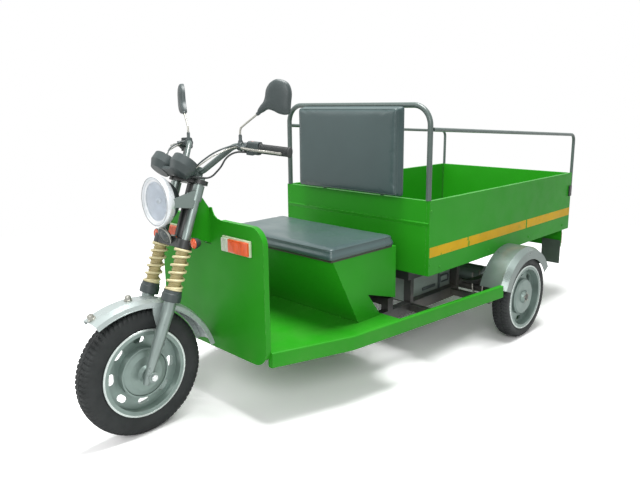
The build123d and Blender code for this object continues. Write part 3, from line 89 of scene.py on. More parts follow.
class Surface:
    """A principled material that is built up one effect at a time."""

    def __init__(self, name, colour, roughness, metallic=0.0):
        self.material = bpy.data.materials.new(name)
        MATERIALS[name] = self.material
        self.material.use_nodes = True
        self.tree = self.material.node_tree
        self.shader = self.tree.nodes["Principled BSDF"]
        self.shader.inputs["Base Color"].default_value = colour
        self.shader.inputs["Roughness"].default_value = roughness
        self.shader.inputs["Metallic"].default_value = metallic
        self.material.diffuse_color = colour
        self.colour = colour
        self.roughness = roughness
        self.normal = None
        self.place = self.node("ShaderNodeTexCoord").outputs["Object"]

    def node(self, kind, **settings):
        made = self.tree.nodes.new(kind)
        for key, value in settings.items():
            setattr(made, key, value)
        return made

    def link(self, output, target):
        self.tree.links.new(output, target)

    def noise(self, scale, detail=3.0, stretch=None):
        """Noise value over the object's own coordinates."""
        texture = self.node("ShaderNodeTexNoise")
        texture.inputs["Scale"].default_value = scale
        texture.inputs["Detail"].default_value = detail
        where = self.place
        if stretch:
            mapping = self.node("ShaderNodeMapping")
            mapping.inputs["Scale"].default_value = stretch
            self.link(where, mapping.inputs["Vector"])
            where = mapping.outputs["Vector"]
        self.link(where, texture.inputs["Vector"])
        return texture.outputs["Fac"]

    def ranged(self, value, low, high, to_low=0.0, to_high=1.0):
        """value moved from low..high to to_low..to_high and held there."""
        ramp = self.node("ShaderNodeMapRange", clamp=True)
        self.link(value, ramp.inputs["Value"])
        settings = (("From Min", low), ("From Max", high), ("To Min", to_low), ("To Max", to_high))
        for socket, number in settings:
            ramp.inputs[socket].default_value = number
        return ramp.outputs["Result"]

    def product(self, first, second):
        times = self.node("ShaderNodeMath", operation="MULTIPLY")
        self.link(first, times.inputs[0])
        self.link(second, times.inputs[1])
        return times.outputs[0]

    def paint_over(self, colour, mask):
        """Mixes colour over the base colour where mask is 1."""
        mix = self.node("ShaderNodeMix", data_type="RGBA")
        base = self.shader.inputs["Base Color"]
        if base.is_linked:
            self.link(base.links[0].from_socket, mix.inputs[6])
        else:
            mix.inputs[6].default_value = self.colour
        mix.inputs[7].default_value = colour
        self.link(mask, mix.inputs[0])
        self.link(mix.outputs[2], base)
        return self

    def vary(self, amount=0.12, scale=2.5):
        """Slow drift of tone over a panel."""
        mask = self.ranged(self.noise(scale, 4.0), 0.35, 0.68)
        return self.paint_over(scaled(self.colour, 1.0 - amount), mask)

    def sheen_marks(self, spread=0.08, scale=18.0):
        """Roughness that changes from patch to patch."""
        value = self.ranged(self.noise(scale, 5.0), 0.3, 0.7, self.roughness - spread, self.roughness + spread)
        self.link(value, self.shader.inputs["Roughness"])
        return self

    def height(self, value, strength, distance):
        """Adds a height to the surface's bump."""
        bump = self.node("ShaderNodeBump")
        bump.inputs["Strength"].default_value = strength
        bump.inputs["Distance"].default_value = distance
        self.link(value, bump.inputs["Height"])
        if self.normal:
            self.link(self.normal, bump.inputs["Normal"])
        self.normal = bump.outputs["Normal"]
        self.link(self.normal, self.shader.inputs["Normal"])
        return self

    def grain(self, scale, strength, distance=0.001, detail=2.0, stretch=None):
        return self.height(self.noise(scale, detail, stretch), strength, distance)

    def soft_edges(self, radius):
        """Rounds the light on sharp edges."""
        bevel = self.node("ShaderNodeBevel", samples=4)
        bevel.inputs["Radius"].default_value = radius
        self.normal = bevel.outputs["Normal"]
        self.link(self.normal, self.shader.inputs["Normal"])
        return self

    def edge_wear_and_highlight(self, colour, radius, amount=0.8):
        """Lighter colour along edges, broken up by noise: rubbed paint, and on the green paint a painted highlight.
        """
        bevel = self.node("ShaderNodeBevel", samples=4)
        bevel.inputs["Radius"].default_value = radius
        geometry = self.node("ShaderNodeNewGeometry")
        facing = self.node("ShaderNodeVectorMath", operation="DOT_PRODUCT")
        self.link(bevel.outputs["Normal"], facing.inputs[0])
        self.link(geometry.outputs["Normal"], facing.inputs[1])
        edge = self.ranged(facing.outputs["Value"], 0.985, 0.90)
        patches = self.ranged(self.noise(60.0, 6.0), 0.46, 0.62, 0.0, amount)
        return self.paint_over(colour, self.product(edge, patches))

    def dust(self, colour, top, amount):
        """Road dust that fades out towards the height top."""
        split = self.node("ShaderNodeSeparateXYZ")
        self.link(self.place, split.inputs[0])
        low = self.ranged(split.outputs["Z"], top, 0.05, 0.0, amount)
        patches = self.ranged(self.noise(9.0, 8.0), 0.35, 0.7)
        return self.paint_over(colour, self.product(low, patches))

    def coat(self, weight, roughness=0.08):
        self.shader.inputs["Coat Weight"].default_value = weight
        self.shader.inputs["Coat Roughness"].default_value = roughness
        return self


DUST = srgb(150, 140, 120)
GREEN = srgb(38, 143, 24)
STRIPE = srgb(205, 163, 6)


def build_materials():
    """Every finish on the vehicle, by plain name."""
    green = Surface("green_paint", GREEN, 0.42).soft_edges(0.0022)
    # painted highlight: the lighter green (120, 190, 105) along the edges stands in for the light on the flanges
    green.vary(0.16, 1.8).edge_wear_and_highlight(srgb(120, 190, 105), 0.003, 0.5).dust(DUST, 0.36, 0.22)
    green.sheen_marks(0.07, 11.0).grain(260.0, 0.05, 0.0006).grain(5.0, 0.06, 0.01).coat(0.03, 0.2)
    green.shader.inputs["Specular IOR Level"].default_value = 0.16
    stripe = Surface("yellow_stripe", STRIPE, 0.42)
    flakes = stripe.ranged(stripe.noise(26.0, 8.0), 0.60, 0.66)
    worn = stripe.product(flakes, stripe.ranged(stripe.noise(3.0, 2.0), 0.45, 0.62))
    stripe.vary(0.14, 7.0).paint_over(GREEN, worn).sheen_marks(0.08, 30.0).grain(300.0, 0.05, 0.0004)
    stripe.shader.inputs["Specular IOR Level"].default_value = 0.16
    black = Surface("black_frame", srgb(34, 38, 37), 0.42).soft_edges(0.002)
    black.vary(0.3, 6.0).edge_wear_and_highlight(srgb(96, 92, 86), 0.003, 0.5).dust(DUST, 0.42, 0.28)
    black.sheen_marks(0.1, 20.0).grain(220.0, 0.08, 0.0006)
    tube = Surface("grey_tube", srgb(74, 88, 84), 0.36).soft_edges(0.0012)
    tube.vary(0.15, 9.0).sheen_marks(0.08, 25.0).grain(240.0, 0.05, 0.0005).coat(0.2)
    silver = Surface("silver_paint", srgb(120, 133, 129), 0.34, 0.5).soft_edges(0.0015)
    silver.vary(0.12, 5.0).dust(DUST, 0.40, 0.18).sheen_marks(0.08, 16.0).grain(400.0, 0.05, 0.0004).coat(0.3)
    alloy = Surface("cast_alloy", srgb(132, 149, 143), 0.38, 0.45).soft_edges(0.0015)
    alloy.vary(0.14, 14.0).sheen_marks(0.08, 40.0).grain(500.0, 0.1, 0.0004)
    leg = Surface("fork_alloy", srgb(138, 151, 147), 0.34, 0.5).soft_edges(0.0015)
    leg.vary(0.12, 12.0).sheen_marks(0.08, 30.0).grain(420.0, 0.07, 0.0004)
    cream = Surface("spring_cream", srgb(226, 216, 170), 0.42).soft_edges(0.001)
    cream.vary(0.16, 30.0).sheen_marks(0.08, 60.0).grain(300.0, 0.05, 0.0004)
    tyre = Surface("tyre_rubber", srgb(25, 30, 30), 0.66)
    tyre.vary(0.3, 9.0).sheen_marks(0.1, 26.0).grain(650.0, 0.25, 0.0005)
    rubber = Surface("soft_rubber", srgb(42, 46, 46), 0.62).soft_edges(0.001)
    rubber.vary(0.2, 25.0).sheen_marks(0.08, 50.0).grain(500.0, 0.2, 0.0004)
    plastic = Surface("black_plastic", srgb(58, 68, 68), 0.46).soft_edges(0.0015)
    plastic.vary(0.14, 12.0).sheen_marks(0.06, 40.0).grain(700.0, 0.12, 0.0003)
    vinyl = Surface("seat_vinyl", srgb(60, 79, 79), 0.34)
    vinyl.vary(0.12, 4.0).sheen_marks(0.07, 9.0).grain(420.0, 0.25, 0.0008, 4.0).grain(1400.0, 0.12, 0.0003)
    vinyl.coat(0.1, 0.3)
    wood = Surface("plywood", srgb(52, 48, 40), 0.62)
    wood.vary(0.3, 14.0).grain(60.0, 0.3, 0.0006, 5.0, (1.0, 14.0, 14.0))
    battery = Surface("battery_grey", srgb(122, 136, 130), 0.45).soft_edges(0.002)
    battery.vary(0.15, 7.0).edge_wear_and_highlight(srgb(165, 170, 165), 0.003, 0.4).dust(DUST, 0.44, 0.3)
    battery.sheen_marks(0.08, 24.0).grain(300.0, 0.06, 0.0005)
    chrome = Surface("chrome_trim", srgb(214, 218, 218), 0.12, 1.0).soft_edges(0.001)
    chrome.sheen_marks(0.05, 40.0).grain(90.0, 0.02, 0.0006)
    steel = Surface("zinc_steel", srgb(172, 172, 164), 0.34, 0.9).soft_edges(0.0006)
    steel.vary(0.25, 60.0).sheen_marks(0.1, 90.0).grain(600.0, 0.08, 0.0003)
    for name, tone, roughness in (
        ("orange_lens", srgb(226, 92, 38), 0.16),
        ("red_lens", srgb(170, 22, 18), 0.16),
        ("white_lens", srgb(196, 208, 188), 0.18),
    ):
        lens = Surface(name, tone, roughness)
        lens.vary(0.2, 40.0).grain(90.0, 0.25, 0.0012, 0.0, (1.0, 1.0, 6.0)).coat(0.6, 0.05)
    glass = Surface("lamp_glass", srgb(228, 234, 240), 0.10)
    glass.shader.inputs["Transmission Weight"].default_value = 0.85
    glass.shader.inputs["IOR"].default_value = 1.3
    glass.vary(0.06, 20.0).grain(70.0, 0.12, 0.001, 0.0, (0.2, 6.0, 0.3))
    mirror = Surface("mirror_glass", srgb(206, 214, 218), 0.03, 1.0)
    mirror.grain(30.0, 0.01, 0.0004)
    pale = Surface("pale_plastic", srgb(190, 208, 172), 0.38).soft_edges(0.0008)
    pale.vary(0.1, 40.0).grain(300.0, 0.05, 0.0003)
    bezel = Surface("bezel_silver", srgb(222, 227, 230), 0.30, 0.4).soft_edges(0.001)
    bezel.vary(0.1, 20.0).sheen_marks(0.06, 30.0).grain(200.0, 0.03, 0.0004)
    reflector = Surface("reflector", srgb(246, 248, 250), 0.3, 0.15)
    reflector.vary(0.12, 30.0).grain(60.0, 0.1, 0.001)
    bulb = Surface("bulb_glass", srgb(240, 240, 236), 0.12)
    bulb.vary(0.1, 60.0).coat(0.6, 0.05)
    rim = Surface("bright_rim", srgb(206, 216, 212), 0.26, 0.6).soft_edges(0.0008)
    rim.vary(0.18, 9.0).sheen_marks(0.08, 40.0).grain(300.0, 0.05, 0.0003)
    guard = Surface("bright_guard", srgb(172, 183, 181), 0.30, 0.35).soft_edges(0.0015)
    guard.vary(0.14, 9.0).dust(DUST, 0.36, 0.12).sheen_marks(0.08, 16.0).grain(12.0, 0.12, 0.004).coat(0.3)
    flap = Surface("flap_rubber", srgb(74, 90, 78), 0.6)
    flap.vary(0.25, 12.0).sheen_marks(0.08, 20.0).grain(400.0, 0.15, 0.0004)
    sleeve = Surface("sleeve_rubber", srgb(176, 164, 116), 0.55)
    sleeve.vary(0.3, 40.0).sheen_marks(0.08, 50.0).grain(400.0, 0.15, 0.0004)
    for name, tone in (("dial_black", srgb(26, 29, 30)), ("dial_white", srgb(226, 228, 222))):
        dial = Surface(name, tone, 0.5)
        dial.vary(0.1, 60.0).grain(500.0, 0.05, 0.0002)


build_materials()


def dress_frame():
    """Gives each CAD node the finish its record slot names."""
    slots = {entry["node"]: entry["material_slot"] for entry in frame["record"]["subparts"]}
    own = {"front_mudguard": "bright_guard", "mud_flaps": "flap_rubber"}
    for name, node in NODES.items():
        node.data.materials.clear()
        node.data.materials.append(MATERIALS[own.get(name, slots[name])])


dress_frame()


# ---------------------------------------------------------------- mesh building
def across_of(axis):
    """Two directions at right angles to axis and to each other."""
    axis = Vector(axis).normalized()
    other = Vector((0, 0, 1)) if abs(axis.z) < 0.9 else Vector((1, 0, 0))
    first = axis.cross(other).normalized()
    return first, axis.cross(first)


def join_rings(bm, lower, upper, finish=0):
    """Faces between two closed rings; a ring of one vertex is a pole."""
    count = max(len(lower), len(upper))
    for step in range(count):
        after = (step + 1) % count
        corners = (
            lower[step % len(lower)], lower[after % len(lower)],
            upper[after % len(upper)], upper[step % len(upper)],
        )
        corners = list(dict.fromkeys(corners))
        if len(corners) > 2:
            bm.faces.new(corners).material_index = finish


def ring_at(bm, middle, first, second, radius, sides):
    """Circle of vertices in the plane of the two directions."""
    ring = []
    for step in range(sides):
        angle = math.tau * step / sides
        ring.append(bm.verts.new(middle + (first * math.cos(angle) + second * math.sin(angle)) * radius))
    return ring


def lathe(bm, place, axis, profile, sides=32, finish=0, looped=False):
    """Turns pairs of radius and height about axis at place."""
    place = Vector(place)
    axis = Vector(axis).normalized()
    first, second = across_of(axis)
    rings = []
    for radius, along in profile:
        middle = place + axis * along
        if radius < 1e-6:
            rings.append([bm.verts.new(middle)])
            continue
        rings.append(ring_at(bm, middle, first, second, radius, sides))
    for lower, upper in zip(rings, rings[1:]):
        join_rings(bm, lower, upper, finish)
    if looped:
        join_rings(bm, rings[-1], rings[0], finish)


def block(bm, centre, size, axes=None, bevel=0.002, finish=0, segments=2):
    """Box with rounded edges; axes are the directions of its length, width and height."""
    axes = axes or (Vector((1, 0, 0)), Vector((0, 1, 0)), Vector((0, 0, 1)))
    known = set(bm.faces)
    verts = bmesh.ops.create_cube(bm, size=1.0)["verts"]
    for vert in verts:
        shift = Vector()
        for axis, length, part in zip(axes, size, vert.co):
            shift += Vector(axis) * (length * part)
        vert.co = Vector(centre) + shift
    edges = list({edge for vert in verts for edge in vert.link_edges})
    bmesh.ops.bevel(bm, geom=edges, offset=bevel, segments=segments, profile=0.5, affect="EDGES")
    for face in bm.faces:
        if face not in known:
            face.material_index = finish


def curve_through(points, steps=8, closed=False):
    """Smooth points through the given ones."""
    points = [Vector(point) for point in points]
    count = len(points)
    made = []
    for index in range(count if closed else count - 1):
        around = [points[(index + shift) % count] for shift in (-1, 0, 1, 2)]
        if not closed:
            around = [points[min(max(index + shift, 0), count - 1)] for shift in (-1, 0, 1, 2)]
        before, start, end, after = around
        for step in range(steps):
            t = step / steps
            made.append(0.5 * (
                start * 2 + (end - before) * t
                + (before * 2 - start * 5 + end * 4 - after) * t ** 2
                + (start * 3 - before - end * 3 + after) * t ** 3
            ))
    if not closed:
        made.append(points[-1])
    return made


def tube(bm, points, radius, sides=10, finish=0, closed=False):
    """Round bar along points."""
    points = [Vector(point) for point in points]
    count = len(points)
    rings = []
    first = None
    for index, point in enumerate(points):
        if closed:
            ahead = points[(index + 1) % count] - points[index - 1]
        else:
            ahead = points[min(index + 1, count - 1)] - points[max(index - 1, 0)]
        ahead.normalize()
        first = across_of(ahead)[0] if first is None else (first - ahead * first.dot(ahead)).normalized()
        second = ahead.cross(first)
        rings.append(ring_at(bm, point, first, second, radius, sides))
    for lower, upper in zip(rings, rings[1:]):
        join_rings(bm, lower, upper, finish)
    if closed:
        join_rings(bm, rings[-1], rings[0], finish)
    else:
        bm.faces.new(rings[0]).material_index = finish
        bm.faces.new(rings[-1]).material_index = finish


def bolt(bm, place, axis, size=0.009, finish=0, washer=True):
    """Chamfered hexagon head on a washer."""
    place = Vector(place)
    axis = Vector(axis).normalized()
    seat = 0.0
    if washer:
        seat = size * 0.14
        ring = ((0, 0), (size * 0.98, 0), (size * 1.05, seat * 0.5), (size * 0.98, seat), (0, seat))
        lathe(bm, place, axis, ring, 20, finish)
    top = seat + size * 0.55
    head = ((0, seat), (size * 0.72, seat), (size * 0.72, top * 0.86), (size * 0.58, top), (0, top))
    lathe(bm, place, axis, head, 6, finish)


def piece(bm, name, finishes, body, angle=32):
    """Closes the mesh into a named piece with the given finishes, riding on a body."""
    bmesh.ops.recalc_face_normals(bm, faces=bm.faces[:])
    mesh = bpy.data.meshes.new(name)
    bm.to_mesh(mesh)
    bm.free()
    made = bpy.data.objects.new(name, mesh)
    show(made)
    for finish in finishes:
        mesh.materials.append(MATERIALS[finish])
    mesh.shade_smooth()
    mesh.set_sharp_from_angle(angle=math.radians(angle))
    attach(made, body)
    return made


# ---------------------------------------------------------------- tyres
def make_tyre(name, node, centre, radius, body, pitches):
    """Tyre with two zigzag grooves, cut shoulder lugs and a ribbed sidewall."""
    foot = 0.1546
    crown = radius - foot
    rise = (
        (0.0338, 0.170), (0.0375, 0.1735), (0.0405, foot + crown * 0.34), (0.0438, foot + crown * 0.52),
        (0.0428, foot + crown * 0.70), (0.0385, foot + crown * 0.85), (0.0300, foot + crown * 0.945),
        (0.0150, foot + crown * 0.988),
    )
    half = [(-across, height) for across, height in rise] + [(0.0, radius)]
    corners = half + [(-across, height) for across, height in half[-2::-1]]
    section = [(point.x, point.y) for point in curve_through([(a, h, 0) for a, h in corners], 5)]
    section += [(0.0338, foot), (-0.0338, foot)]
    per_pitch = 7
    bm = bmesh.new()
    rings = []
    for step in range(pitches * per_pitch):
        phase = step / per_pitch
        angle = math.tau * step / (pitches * per_pitch)
        outward = Vector((math.cos(angle), 0, math.sin(angle)))
        wave = abs((phase % 1.0) - 0.5) * 4 - 1
        ring = []
        for across, height in section:
            level = (height - foot) / crown
            depth = 0.0
            if level > 0.72:
                fade = min(1.0, (level - 0.72) / 0.10)
                if abs(abs(across) - (0.0105 + 0.0022 * wave)) < 0.0018:
                    depth = 0.0042
                lug = (phase + abs(across) * 16 + (0.5 if across > 0 else 0.0)) % 1.0
                if abs(across) > 0.0145 and lug < 0.30:
                    depth = 0.0040
                elif abs(across) < 0.0075 and lug < 0.16:
                    depth = 0.0018
                depth *= fade
            elif 0.60 < level < 0.64 or 0.22 < level < 0.26:
                depth = -0.0007
            ring.append(bm.verts.new(centre + outward * (height - depth) + Vector((0, across, 0))))
        rings.append(ring)
    for index, ring in enumerate(rings):
        join_rings(bm, ring, rings[(index + 1) % len(rings)])
    made = piece(bm, name, ["tyre_rubber"], body, 40)
    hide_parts(node)


make_tyre("tread_front", "front_tyre", FRONT_AXLE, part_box("front_tyre")[1][2] / 2, "front_wheel_assembly", 76)
for rear_side, rear_centre in REAR_AXLES.items():
    rear_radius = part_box(f"rear_tyre_{rear_side}")[1][2] / 2
    make_tyre(
        f"tread_rear_{rear_side}", f"rear_tyre_{rear_side}", rear_centre, rear_radius,
        f"rear_wheel_{rear_side}_assembly", 68,
    )


# ---------------------------------------------------------------- cushions
def puffed(name, node, body, held, pull=0.003, most=0.010):
    """Copy of a CAD cushion filled by cloth pressure.

    held(point) is 0 where it can't swell and 1 where it is free; most is the furthest that a point may move.
    """
    source = NODES[node].data.copy()
    made = bpy.data.objects.new(name, source)
    show(made)
    bpy.context.view_layer.objects.active = made
    remesh = made.modifiers.new("remesh", "REMESH")
    remesh.mode = "VOXEL"
    remesh.voxel_size = VOXEL
    smooth = made.modifiers.new("smooth", "SMOOTH")
    smooth.iterations = 6
    smooth.factor = 0.5
    settle(made)
    for vert, normal in zip(made.data.vertices, [vert.normal.copy() for vert in made.data.vertices]):
        vert.co -= normal * (pull * held(vert.co))
    start = [vert.co.copy() for vert in made.data.vertices]
    cloth = made.modifiers.new("cloth", "CLOTH")
    cloth.settings.use_pressure = True
    cloth.settings.uniform_pressure_force = CLOTH_PRESSURE
    cloth.settings.effector_weights.gravity = 0.0
    cloth.point_cache.frame_start = 1
    cloth.point_cache.frame_end = CLOTH_FRAMES
    for number in range(1, CLOTH_FRAMES + 1):
        bpy.context.scene.frame_set(number)
    settle(made)
    bpy.context.scene.frame_set(1)
    for vert, before in zip(made.data.vertices, start):
        moved = vert.co - before
        if moved.length > most:
            moved *= most / moved.length
        vert.co = before + moved * held(before)
    divide = made.modifiers.new("divide", "SUBSURF")
    divide.levels = 1
    settle(made)
    made.data.materials.clear()
    made.data.materials.append(MATERIALS["seat_vinyl"])
    made.data.shade_smooth()
    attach(made, body)
    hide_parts(node)
    return made


def settle(made):
    """Applies the modifiers of a piece."""
    graph = bpy.context.evaluated_depsgraph_get()
    shaped = bpy.data.meshes.new_from_object(made.evaluated_get(graph))
    made.modifiers.clear()
    made.data = shaped


def welt(name, cushion, outline, lift, body, radius=0.0026):
    """Sewn piping that follows the surface of a cushion near the outline."""
    bm = bmesh.new()
    points = []
    for point in outline:
        found, place, normal, _ = cushion.closest_point_on_mesh(point)
        points.append(place + normal * lift if found else point)
    count = len(points)
    for _ in range(3):
        points = [(points[i - 1] + points[i] * 2 + points[(i + 1) % count]) / 4 for i in range(count)]
    tube(bm, points, radius, 8, 0, True)
    piece(bm, name, ["seat_vinyl"], body, 60)


def rounded_loop(low, high, corner, place, step=0.012):
    """Rounded rectangle of points; place turns its two coordinates into a point."""
    points = []
    arcs = (
        (high[0] - corner, high[1] - corner, 0), (low[0] + corner, high[1] - corner, 90),
        (low[0] + corner, low[1] + corner, 180), (high[0] - corner, low[1] + corner, 270),
    )
    for middle_a, middle_b, turn in arcs:
        for part in range(5):
            angle = math.radians(turn + part * 22.5)
            points.append((middle_a + corner * math.cos(angle), middle_b + corner * math.sin(angle)))
    dense = []
    for index, (here_a, here_b) in enumerate(points):
        next_a, next_b = points[(index + 1) % len(points)]
        parts = max(1, round(math.hypot(next_a - here_a, next_b - here_b) / step))
        for part in range(parts):
            share = part / parts
            dense.append(place(here_a + (next_a - here_a) * share, here_b + (next_b - here_b) * share))
    return dense


def eased(value):
    value = min(1.0, max(0.0, value))
    return value * value * (3 - 2 * value)


SEAT_LOW, SEAT_HIGH = corners_of("seat_cushion")
BACK_LOW, BACK_HIGH = corners_of("backrest")
seat_pad = puffed(
    "seat_pad", "seat_cushion", "seat_lid", lambda point: eased((point.z - SEAT_LOW.z - 0.012) / 0.02), 0.003, 0.0055,
)
back_pad = puffed(
    "back_pad", "backrest", "chassis", lambda point: eased((point.x - BACK_LOW.x - 0.006) / 0.03), 0.0045, 0.0050,
)
seat_edge = rounded_loop(
    (SEAT_LOW.x + 0.005, SEAT_LOW.y + 0.005), (SEAT_HIGH.x - 0.005, SEAT_HIGH.y - 0.005), 0.016,
    lambda a, b: Vector((a, b, SEAT_HIGH.z)),
)
welt("seat_piping", seat_pad, seat_edge, -0.0006, "seat_lid")
for edge_name, depth in (("back_piping_front", BACK_HIGH.x), ("back_piping_rear", BACK_LOW.x)):
    back_edge = rounded_loop(
        (BACK_LOW.y + 0.006, BACK_LOW.z + 0.006), (BACK_HIGH.y - 0.006, BACK_HIGH.z - 0.006), 0.018,
        lambda a, b, depth=depth: Vector((depth, a, b)),
    )
    welt(edge_name, back_pad, back_edge, -0.0006, "chassis")


# ---------------------------------------------------------------- stripes and marker lamps
SIDE_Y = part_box("cargo_side_left")[1][1]
STRIPE_BOTTOM = 0.539
STRIPE_TOP = 0.586


def make_stripes():
    """Painted film along both box sides, with one short gap where it has worn away."""
    low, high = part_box("cargo_side_left")
    bm = bmesh.new()
    gap_front = -0.884
    gap_rear = -0.898
    for side in (-1, 1):
        for front, rear in ((high[0] - 0.006, gap_front), (gap_rear, low[0] + 0.004)):
            middle = ((front + rear) / 2, side * (SIDE_Y + 0.0003), (STRIPE_BOTTOM + STRIPE_TOP) / 2)
            block(bm, middle, (front - rear, 0.0008, STRIPE_TOP - STRIPE_BOTTOM), None, 0.0003, 0, 1)
    piece(bm, "side_stripes", ["yellow_stripe"], "chassis")


def ribbed_lens(bm, low, high, finish, pitch=0.0085):
    """Lamp lens facing forward, with upright flutes across its face."""
    middle = (Vector(low) + Vector(high)) / 2
    size = Vector(high) - Vector(low)
    block(bm, middle, size, None, 0.0022, finish, 3)
    count = max(2, int((size.y - 0.008) / pitch))
    for index in range(count):
        y = low[1] + 0.004 + (size.y - 0.008) * (index + 0.5) / count
        line = ((high[0] - 0.0004, y, low[2] + 0.005), (high[0] - 0.0004, y, high[2] - 0.005))
        tube(bm, line, 0.0017, 8, finish)


def make_markers():
    """White and orange lamps on the apron, each in a pale moulded frame."""
    low, high = corners_of("marker_lamps")
    length = 0.170
    bm = bmesh.new()
    for side in (-1, 1):
        outer = high.y
        inner = high.y - length
        middle = Vector(((low.x + low.x + 0.011) / 2 + 0.0002, side * (inner + outer) / 2, (low.z + high.z) / 2))
        block(bm, middle, (0.0106, length, high.z - low.z), None, 0.0025, 0, 3)
        split = inner + length * 0.27
        for start, end, finish in ((inner + 0.004, split - 0.0015, 1), (split, outer - 0.005, 2)):
            near, far = sorted((side * start, side * end))
            lens_low = Vector((low.x + 0.004, near, low.z + 0.004))
            lens_high = Vector((high.x - 0.002, far, high.z - 0.006))
            ribbed_lens(bm, lens_low, lens_high, finish)
    made = piece(bm, "marker_units", ["pale_plastic", "white_lens", "orange_lens"], "chassis")
    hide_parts("marker_lamps")


make_stripes()
make_markers()


# ---------------------------------------------------------------- headlamp
def make_headlamp():
    """Bright bezel, dished reflector with a bulb, and a clear bulged lens."""
    low, high = corners_of("headlamp_lens")
    shell_low, shell_high = corners_of("headlamp_shell")
    centre = Vector((low.x, 0, (low.z + high.z) / 2))
    bore = (high.z - low.z) / 2
    outer = (shell_high.z - shell_low.z) / 2
    face = 0.022
    forward = (1, 0, 0)
    bm = bmesh.new()
    bezel = (
        (outer - 0.0058, face - 0.030), (outer - 0.0040, face - 0.030), (outer + 0.0012, face - 0.016),
        (outer + 0.0030, face - 0.010),
        (outer + 0.0026, face - 0.003), (outer + 0.0006, face + 0.0018), (outer - 0.003, face + 0.0042),
        (outer - 0.008, face + 0.0036), (bore - 0.001, face + 0.0010), (bore - 0.0012, face - 0.004),
        (outer + 0.0003, face - 0.004), (outer + 0.0003, face - 0.0145), (outer - 0.0058, face - 0.0165),
    )
    lathe(bm, centre, forward, bezel, 72, 0, True)
    piece(bm, "headlamp_bezel", ["bezel_silver"], "steering", 45)
    bm = bmesh.new()
    dish = [(0.0, 0.0004), (bore - 0.0015, 0.0004), (bore - 0.0012, face - 0.0012), (bore - 0.004, face - 0.0016)]
    for step in range(1, 11):
        share = 1 - step / 11
        dish.append((0.012 + (bore - 0.016) * share, 0.002 + (face - 0.0045) * share ** 2))
    dish += [(0.011, 0.0030), (0.0, 0.0030)]
    lathe(bm, centre, forward, dish, 72, 0)
    lathe(bm, centre, forward, ((0, 0.0028), (0.010, 0.0028), (0.010, 0.009), (0.0075, 0.012), (0, 0.013)), 24, 1)
    piece(bm, "headlamp_reflector", ["reflector", "bulb_glass"], "steering", 45)
    bm = bmesh.new()
    outside = []
    inside = []
    for step in range(13):
        share = step / 12
        radius = (bore - 0.0015) * (1 - share)
        bulge = 0.0125 * (1 - (1 - share) ** 2) + 0.0006
        outside.append((radius, face - 0.006 + bulge))
        inside.append((radius, face - 0.0085 + bulge))
    lathe(bm, centre, forward, outside, 72, 0)
    lathe(bm, centre, forward, inside, 72, 0)
    rim = ((outside[0][0], inside[0][1]), (outside[0][0], outside[0][1]))
    lathe(bm, centre, forward, rim, 72, 0)
    bmesh.ops.remove_doubles(bm, verts=bm.verts[:], dist=0.00002)
    made = piece(bm, "headlamp_glass", ["lamp_glass"], "steering", 50)
    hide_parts("headlamp_lens")


# ---------------------------------------------------------------- handlebar, mirrors and grips
BAR_CENTRE = Vector((0.9594, 0, 0.9772))


def bar_end(side):
    """Tip of the bar and the direction inwards along its straight end."""
    tip = BAR_CENTRE + Vector((-0.190, side * 0.350, 0.078))
    bend = BAR_CENTRE + Vector((-0.092, side * 0.150, 0.100))
    return tip, (bend - tip).normalized()


def make_mirrors():
    """Domed mirror heads with a beak at the stem, on thin bright stems."""
    outline = (
        (0, 62), (28, 51), (45, 28), (51, 0), (58, -18), (72, -34), (82, -50), (80, -60), (66, -57), (44, -46),
        (22, -50), (-2, -61), (-28, -65), (-42, -56), (-47, -22), (-50, 18), (-36, 49),
    )
    thickness = 0.024
    bm = bmesh.new()
    for side in (-1, 1):
        tip, inward = bar_end(side)
        foot = tip + inward * 0.190
        ring = ((0.0114, 0), (0.0165, 0), (0.0172, 0.002), (0.0172, 0.014), (0.0165, 0.016), (0.0114, 0.016))
        lathe(bm, foot, inward, ring, 28, 0, True)
        base = foot + inward * 0.008 + Vector((0, 0, 0.014))
        bend = base + Vector((0, 0, 0.052))
        tail = bend + Vector((-0.032, side * 0.072, 0.056))
        boss = ((0, 0), (0.009, 0), (0.009, 0.010), (0.0065, 0.013), (0.0065, 0.030), (0.0045, 0.034), (0, 0.034))
        lathe(bm, base - Vector((0, 0, 0.004)), (0, 0, 1), boss, 20, 0)
        along = (tail - bend).normalized()
        turn = [bend - Vector((0, 0, 0.014)), bend - Vector((0, 0, 0.004)) + along * 0.003, bend + along * 0.013]
        stem = curve_through([base + Vector((0, 0, 0.012))] + turn + [tail - along * 0.004], 6)
        tube(bm, stem, 0.0038, 12, 1)
        facing = Vector((-math.cos(math.radians(27)), -side * math.sin(math.radians(27)), 0))
        across = Vector((-facing.y, facing.x, 0))
        centre = tail - across * (side * 0.0778) + Vector((0, 0, 0.0583))
        rim = [Vector((u * side * MM, v * MM, 0)) for u, v in outline]
        rim = curve_through(rim, 5, True)
        rings = []
        profile = (
            (0.90, 0.42), (0.93, 0.44), (0.985, 0.50), (1.0, 0.40), (1.0, 0.05), (0.985, -0.12), (0.94, -0.27),
            (0.85, -0.41), (0.70, -0.52), (0.50, -0.59), (0.25, -0.62), (0.0, -0.63),
        )
        for share, depth in profile:
            place = centre + facing * (thickness * depth)
            if share == 0:
                rings.append([bm.verts.new(place)])
                continue
            rings.append([bm.verts.new(place + across * (p.x * share) + Vector((0, 0, p.y * share))) for p in rim])
        for lower, upper in zip(rings, rings[1:]):
            join_rings(bm, lower, upper, 0)
        glass = [bm.verts.new(centre + facing * (thickness * 0.42))]
        join_rings(bm, glass, rings[0], 2)
        socket = ((0, 0), (0.0065, 0), (0.0075, 0.008), (0.006, 0.018), (0, 0.018))
        lathe(bm, tail - along * 0.008, along, socket, 16, 0)
    made = piece(
        bm, "mirror_heads", ["black_plastic", "zinc_steel", "mirror_glass"],
        "steering", 50,
    )
    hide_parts("mirrors")


